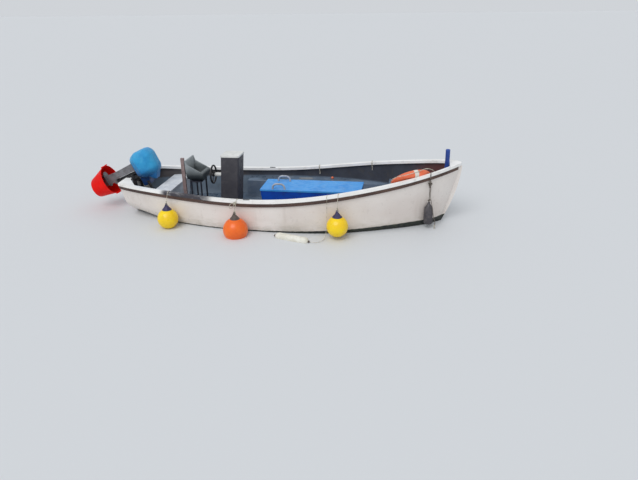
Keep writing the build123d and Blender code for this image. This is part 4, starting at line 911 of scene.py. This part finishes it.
# Floating fender: its ends, its rounded end and eye by distance and radius, and the ribs between its ends
FLOAT_ENDS = (Vector((-0.004, -0.935, 0.018)), Vector((0.470, -1.088, 0.018)))
FLOAT_RADIUS = 0.0540
FLOAT_END = (
    (-0.004, 0.0150), (0.000, 0.0190), (0.010, 0.0330), (0.024, 0.0450), (0.042, 0.0515),
    (0.070, FLOAT_RADIUS),
)
FLOAT_RIBS = 7
FLOAT_RIB_ROWS = 4
FLOAT_RIB_FROM = 0.08
FLOAT_EYE = ((-0.001, 0.0165), (0.006, 0.0160), (0.014, 0.0125), (0.018, 0.0090))


def make_float():
    """Small white fender afloat: a moulded tube with shallow ribs, and a dark eye at each end."""
    start, end = FLOAT_ENDS
    long = (end - start).length
    way = (end - start).normalized()
    rows = FLOAT_RIBS * FLOAT_RIB_ROWS
    middle = []
    for row in range(rows + 1):
        distance = FLOAT_RIB_FROM + (long - 2 * FLOAT_RIB_FROM) * (row / rows)
        middle.append((distance, FLOAT_RADIUS - 0.0010 * (row % FLOAT_RIB_ROWS == 2)))
    back = [(long - distance, radius) for distance, radius in reversed(FLOAT_END)]
    shape = Shape()
    shape.lathe(start, way, [*FLOAT_END, *middle, *back], 56)
    shape.piece("float_fender_moulded", "fender_white", "floating_fender")
    eyes = Shape()
    for place, along in ((start, -way), (end, way)):
        eyes.lathe(place, along, FLOAT_EYE, sides=32)
        ring = circle(place + along * 0.0165, along, UP, radius=0.0085, sides=32)
        eyes.tube(ring, radius=0.0045, sides=10, closed=True)
    eyes.piece("float_eyes", "fender_eye_brown")


def make_float_hitch():
    """The slack line's tight end over the rail, with a small hitch."""
    shape = Shape()
    shape.rope(over_rail(FLOAT_EXIT[0], FLOAT_EXIT, FLOAT_LINE_RADIUS), FLOAT_LINE_RADIUS)
    shape.piece("float_hitch_laid", "rope_pale", "float_line_hitch")


# Lifebuoy: its ring's plane leans over to starboard, and its line hangs in bights between its bands
BUOY_HEADING = radians(29)
BUOY_LEAN = radians(49)
BUOY_RADIUS = 0.246
BUOY_TUBE = 0.052
BUOY_SIDES = 48
GRAB_LINE = 0.005
BANDS = (5, 95, 185, 275)  # degrees round the ring from its fore end
BAND_HALF = radians(6.5)
BAND_STEPS = 12
Bight = namedtuple("Bight", "start end slack")
BIGHTS = (Bight(-81, 1, 0.012), Bight(9, 91, 0.060), Bight(99, 181, 0.045), Bight(189, 271, 0.012))
BIGHT_STEPS = 40


def buoy_frame():
    """The ring's centre, two directions in its plane and the one across it."""
    low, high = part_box("lifebuoy")
    level = Vector((cos(BUOY_HEADING), sin(BUOY_HEADING), 0))
    rise = Vector((sin(BUOY_LEAN) * sin(BUOY_HEADING), -sin(BUOY_LEAN) * cos(BUOY_HEADING), cos(BUOY_LEAN)))
    return (low + high) / 2, level, rise, level.cross(rise)


def make_lifebuoy():
    """Orange ring with four white bands and the seam of its two halves."""
    centre, level, rise, face = buoy_frame()

    def section(angle, grow, seam):
        out = level * cos(angle) + rise * sin(angle)
        ring = []
        for side, turn in enumerate(turns(BUOY_SIDES)):
            reach = BUOY_TUBE + grow - (seam if side in (0, BUOY_SIDES // 2) else 0)
            ring.append(centre + out * (BUOY_RADIUS + reach * cos(turn)) + face * (reach * sin(turn)))
        return ring

    shape = Shape()
    shape.rings([section(angle, -0.0006, 0.0009) for angle in turns(160)], closed=True)
    shape.piece("lifebuoy_ring", "buoy_orange", "lifebuoy")
    bands = Shape()
    for place in BANDS:
        rows = []
        for step in range(BAND_STEPS + 1):
            share = step / BAND_STEPS
            grow = 0.0008 if 0 < step < BAND_STEPS else -0.002
            rows.append(section(radians(place) - BAND_HALF + 2 * BAND_HALF * share, grow, 0))
        bands.rings(rows)
    bands.piece("lifebuoy_bands", "buoy_white")


def make_grab_line():
    """Pale line round the ring, under the bands and slack between them."""
    centre, level, rise, face = buoy_frame()
    reach = BUOY_RADIUS + BUOY_TUBE + GRAB_LINE + 0.0003
    line = []
    for bight in BIGHTS:
        for step in range(BIGHT_STEPS + 1):
            share = step / BIGHT_STEPS
            angle = radians(bight.start + (bight.end - bight.start) * share)
            slack = bight.slack * sin(pi * share)
            sway = 0.35 * bight.slack * sin(2 * pi * share)
            out = level * cos(angle) + rise * sin(angle)
            line.append(centre + out * (reach + slack) + face * sway)
    shape = Shape()
    shape.rope(spread(line + [line[0]], 0.006)[:-1], GRAB_LINE, closed=True)
    shape.piece("lifebuoy_rope", "rope_pale", "lifebuoy_grab_line")


# Motor cover, in the motor's frame: the cowl and the pan below it that the cloth goes round, the cloth and
# its folds, its gathered hem, the block in front that hides part of it, and its loose corner
COWL_U = (-0.350, 0.052)
COWL_HALF = 0.150
COWL_CORNER = 0.120
COWL_ROUND = 0.118
COWL_W = (0.205, 0.468)
PAN_W = 0.110
PAN_IN = 0.045
COVER_OUT = 0.0044
COVER_LOW = 0.122
COVER_THICK = 0.0014
COVER_SINK = 0.0014  # how far a fold may come in
COVER_FOLDS = ((9, 0.0050), (24, 0.0022))  # fineness and depth
HEM_HIGH = 0.05
HEM_GATHER = 0.0026
NOSE_BACK = 0.010
NOSE_HALF = 0.071
NOSE_W = 0.233
FLAP_HALF = 0.090
FLAP_EDGE = 0.006
FLAP_FADE = 0.026
FLAP_CURVE = 0.16
FLAP_WAVE = 0.0045
# The loose corner by height up the motor and how far it stands ahead of the cowl there
FLAP = (
    (0.430, -0.060), (0.392, 0.020), (0.345, 0.080), (0.312, 0.070),
    (0.282, 0.042), (0.248, 0.014), (0.226, -0.060),
)
COVER_COUNT = 168
COVER_SIDE_ROWS = 40
COVER_TOP_ROWS = 22
COVER_CROWN_ROWS = 8


def flap_reach(w):
    """How far the loose corner stands ahead of the cowl at a height up the motor."""
    for (high, reach_high), (low, reach_low) in zip(FLAP, FLAP[1:]):
        if low <= w <= high:
            share = (high - w) / (high - low)
            return reach_high + (reach_low - reach_high) * share
    return -1.0


def rounded_ring(half_u, half_y, corner):
    """Points round a rectangle with rounded corners, about its middle, each with its direction from there."""
    flat_u, flat_y = half_u - corner, half_y - corner
    points = []
    for angle in turns(COVER_COUNT):
        way = Vector((cos(angle), sin(angle)))
        low, high = 0.0, half_u + half_y
        for _ in range(30):
            middle = (low + high) / 2
            point = way * middle
            gap = Vector((max(abs(point.x) - flat_u, 0), max(abs(point.y) - flat_y, 0)))
            low, high = (middle, high) if gap.length <= corner else (low, middle)
        points.append((way * low, way))
    return points


def soft_step(value):
    """A value from 0 to 1 eased at both ends."""
    value = max(0.0, min(1.0, value))
    return value * value * (3 - 2 * value)


def cover_ring(w, pull):
    """One ring of the cloth at a height, drawn in by the pull over the cowl's rounded top."""
    middle_u = sum(COWL_U) / 2
    half_u = (COWL_U[1] - COWL_U[0]) / 2
    taper = PAN_IN * max(0.0, COWL_W[0] - w) / (COWL_W[0] - PAN_W)
    grow = COVER_OUT - taper - pull
    front = COWL_U[1] + flap_reach(w) - middle_u
    ring = []
    for point, way in rounded_ring(half_u + grow, COWL_HALF + grow, COWL_CORNER + grow):
        place = Vector((point.x, point.y, w * 1.6))
        fold = sum(noise.noise(place * fine) * depth for fine, depth in COVER_FOLDS)
        angle = atan2(point.y, point.x)
        hem = max(0.0, 1 - (w - COVER_LOW) / HEM_HIGH)
        gather = HEM_GATHER * sin(30 * angle + 2 * sin(3 * angle)) * hem
        reach = point + way * max(fold + gather, -COVER_SINK)
        loose = soft_step((FLAP_HALF + FLAP_EDGE - abs(point.y)) / FLAP_FADE) if way.x > 0 else 0.0
        wave = FLAP_WAVE * sin(62 * point.y + 14 * w)
        hang = front - FLAP_CURVE * point.y**2 / FLAP_HALF + wave - 0.003
        if hang > reach.x:
            reach.x += (hang - reach.x) * loose
        ring.append((middle_u + reach.x, reach.y, w + 0.002 * noise.noise(place * 7)))
    return ring


def cover_rings():
    """The cloth's rings from its hem up over the cowl's shoulder, and in to the middle of its crown."""
    top = COWL_W[1] + COVER_OUT
    shoulder = COWL_ROUND + COVER_OUT
    rise = top - shoulder - COVER_LOW
    rings = [cover_ring(COVER_LOW + rise * row / COVER_SIDE_ROWS, 0.0) for row in range(COVER_SIDE_ROWS + 1)]
    for row in range(1, COVER_TOP_ROWS + 1):
        angle = pi / 2 * row / COVER_TOP_ROWS
        rings.append(cover_ring(top - shoulder + shoulder * sin(angle), shoulder * (1 - cos(angle))))
    last = [Vector(point) for point in rings[-1]]
    middle = sum(last, Vector()) / COVER_COUNT
    for row in range(1, COVER_CROWN_ROWS):
        share = row / COVER_CROWN_ROWS
        ring = []
        for point in last:
            swell = max(noise.noise(point * 15) * 0.003 * share, -0.001)
            ring.append(tuple(point.lerp(middle, share) + UP * swell))
        rings.append(ring)
    return rings, tuple(middle)


def in_nose(points):
    """Whether points of the cloth all lie inside the block that stands out of the cowl's front."""
    return all(u > NOSE_BACK and abs(y) < NOSE_HALF and w < NOSE_W for u, y, w in points)


def make_cover():
    """The cloth as one sheet pulled over the cowl, gathered at its hem, with folds and its loose corner."""
    rings, middle = cover_rings()
    shape = Shape()
    shape.rings(rings)
    sides = shape.faces[:-2]  # all but the two caps
    faces = [face for face in sides if not in_nose(shape.vertices[corner] for corner in face)]
    last = (len(rings) - 1) * COVER_COUNT
    count = COVER_COUNT
    faces += [(last + side, last + (side + 1) % count, last + count) for side in range(count)]
    vertices = [motor_point(*point) for point in [*shape.vertices, middle]]
    piece = make_piece("cover_cloth", vertices, faces, "cover_blue", "motor")
    thick = piece.modifiers.new("thickness", "SOLIDIFY")
    thick.thickness = COVER_THICK
    thick.offset = 1
    bpy.context.view_layer.objects.active = piece
    piece.select_set(True)
    bpy.ops.object.modifier_apply(modifier="thickness")
    piece.select_set(False)
    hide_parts("motor_cover")


# Tub over the gearcase, in the motor's frame: its rim's middle, its heights and radii at bottom and rim,
# its wall, rounded edge and rim, and how far it is pulled and dented out of round
TUB_U = -0.148
TUB_SAG = 0.030  # how far its bottom is forward of that
TUB_W = (-0.678, -0.380)
TUB_RADII = (0.151, 0.225)
TUB_WALL = 0.005
TUB_EDGE = 0.016
TUB_RIM_BELOW = 0.010
TUB_RIM_IN = 0.003
TUB_OVAL = 0.006
TUB_DENT = 0.0028
TUB_ROWS = 18
# One grip, as places across and heights above the rim
GRIP = (
    (-0.068, -0.008), (-0.063, 0.012), (-0.046, 0.033), (0, 0.038),
    (0.046, 0.033), (0.063, 0.012), (0.068, -0.008),
)


def tub_profile():
    """Heights and radii of the tub: out along its bottom, up, over its rolled rim and back down inside."""
    base, rim = TUB_RADII
    low, high = TUB_W
    foot = low + TUB_EDGE
    tall = high - TUB_RIM_BELOW - foot
    flare = rim - TUB_RIM_IN - base
    outer = [(low, 0.002), (low, 0.6 * base), (low, base - 0.024)]
    outer += [(low + 0.003, base - 0.014), (low + 0.009, base - 0.005), (foot, base)]
    outer += [(foot + tall * row / TUB_ROWS, base + flare * row / TUB_ROWS) for row in range(1, TUB_ROWS + 1)]
    lip = [(high - 0.009, rim + 0.002), (high - 0.007, rim + 0.0045), (high - 0.002, rim + 0.0045)]
    lip += [(high, rim + 0.001), (high, rim - TUB_WALL + 0.001), (high - 0.004, rim - TUB_WALL - 0.001)]
    inner = []
    for row in range(TUB_ROWS, -1, -1):
        share = row / TUB_ROWS
        inner.append((foot + TUB_WALL + (tall - TUB_WALL) * share, base - TUB_WALL + flare * share))
    bottom = low + TUB_WALL
    return outer + lip + inner + [(bottom + 0.003, base - 0.026), (bottom, 0.6 * base), (bottom, 0.002)]


def make_tub():
    """Flexible tub: a round bottom edge, a rolled rim pulled a little out of round, and two moulded grips."""
    low, high = TUB_W
    rings = []
    for w, radius in tub_profile():
        share = (w - low) / (high - low)
        centre = TUB_U + TUB_SAG * (1 - share)
        ring = []
        for angle in turns(128):
            pull = 1 + TUB_OVAL * share * (cos(2 * angle) - 1)
            dent = TUB_DENT * noise.noise(Vector((cos(angle) * 2.4, sin(angle) * 2.4, share * 3))) * share
            reach = radius * pull + dent
            ring.append(motor_point(centre + reach * cos(angle), reach * sin(angle), w))
        rings.append(ring)
    shape = Shape()
    shape.rings(rings)
    for side in (1, -1):
        across = TUB_U + side * (TUB_RADII[1] - 0.001)
        grip = [motor_point(across, y, high + above) for y, above in GRIP]
        shape.tube(smooth_line(grip, 0.006), radius=0.008, sides=14)
    shape.piece("tub_moulded", "tub_red", "propeller_tub", body="motor")


# Port side: lines by place along the boat and the lean of the hanging end, a float toggle and a batten
PORT_LINES = ((0.33, 0.015), (1.17, 0.010))
PORT_LINE = 0.0055
TOGGLE_PLACE = Vector((0.545, 0.74, 0.3486))
TOGGLE_HALF = 0.026
TOGGLE_RADIUS = 0.0185
BATTEN = (Vector((0.02, 0.700, 0.3365)), Vector((0.23, 0.722, 0.3365)))


def make_port_lines():
    """Short pale lines hitched over the port rail, with a float toggle and a batten on the bench below."""
    shape = Shape()
    for x, lean in PORT_LINES:
        beam, top = rail_at(x)
        outside = over_rail(x, (x, -(beam + 0.008), top - 0.07), PORT_LINE)
        line = [Vector((point.x, -point.y, point.z)) for point in outside]
        inner = line[-1]
        hang = ((0, 0, 0), (lean * 0.3, -0.002, -0.03), (lean, -0.006, -0.07), (lean * 0.8, -0.008, -0.10))
        tail = [inner + Vector(point) for point in hang]
        shape.rope(line + smooth_line(tail, RUN_STEP)[1:], PORT_LINE)
        shape.rope(knot_line(inner + UP * 0.004, 0.011, UP, lean * 40), radius=0.0045, closed=True)
    shape.piece("port_rail_lines", "rope_pale")
    toggle = Shape()
    shares = [step / 16 for step in range(17)]
    profile = [(TOGGLE_HALF * (2 * share - 1), TOGGLE_RADIUS * sin(pi * share) + 0.0008) for share in shares]
    toggle.lathe(TOGGLE_PLACE, Vector((1, 0.3, 0)), profile, sides=32)
    toggle.piece("float_toggle", "buoy_orange")
    batten = Shape()
    batten.tube(spread(BATTEN, 0.02), radius=0.0062, sides=10)
    batten.piece("bench_batten", "ply_white")


# Upright board behind the seat, from its lowest corner
BOARD_LOW = Vector((-1.584, -0.160, 0.0602))
BOARD_SIZE = Vector((0.050, 0.030, 0.792))
BOARD_BEVEL = 0.003


def make_seat_board():
    """Upright board behind the seat, from the sole to above the seat's back."""
    tall = BOARD_SIZE.z
    rows = ((0, BOARD_BEVEL), (BOARD_BEVEL, 0), (tall * 0.5, 0), (tall - BOARD_BEVEL, 0), (tall, BOARD_BEVEL))
    rings = []
    for height, inset in rows:
        ring = []
        for u, v in ((0, 0), (1, 0), (1, 1), (0, 1)):
            corner = BOARD_LOW + Vector((BOARD_SIZE.x * u, BOARD_SIZE.y * v, height))
            ring.append(corner + Vector((inset * (1 - 2 * u), inset * (1 - 2 * v), 0)))
        rings.append(ring)
    shape = Shape()
    shape.rings(rings)
    shape.piece("seat_board", "board_brown", smooth=False)


def make_floor():
    """A plain pale floor at the waterline, far wider than the view."""
    mesh = bpy.data.meshes.new("floor")
    half = 60
    corners = [(-half, -half, 0), (half, -half, 0), (half, half, 0), (-half, half, 0)]
    mesh.from_pydata(corners, [], [(0, 1, 2, 3)])
    floor = bpy.data.objects.new("floor", mesh)
    bpy.context.collection.objects.link(floor)
    paint = Paint("floor", rough=0.6)
    paint.shader.inputs["Base Color"].default_value = srgb(214, 216, 218)
    mesh.materials.append(paint.material)


def make_light():
    """Even light from an overcast sky, and a wide soft sun."""
    world = bpy.data.worlds.new("sky")
    bpy.context.scene.world = world
    world.use_nodes = True
    background = world.node_tree.nodes["Background"]
    background.inputs["Color"].default_value = srgb(236, 240, 245)
    background.inputs["Strength"].default_value = 0.75
    data = bpy.data.lights.new("sun", "SUN")
    data.energy = 1.3
    data.angle = radians(40)
    sun = bpy.data.objects.new("sun", data)
    sun.rotation_euler = (radians(38), radians(-14), 0)
    bpy.context.collection.objects.link(sun)


make_camera()
make_float_line()
paint_nodes()
paint_hull()
make_balls()
make_eyes()
make_ball_lines()
make_orange_loop()
make_bow_fender()
make_bow_line()
make_float()
make_float_hitch()
make_lifebuoy()
make_grab_line()
make_cover()
make_tub()
make_port_lines()
make_seat_board()
make_floor()
make_light()

bpy.context.scene.view_settings.view_transform = "Standard"
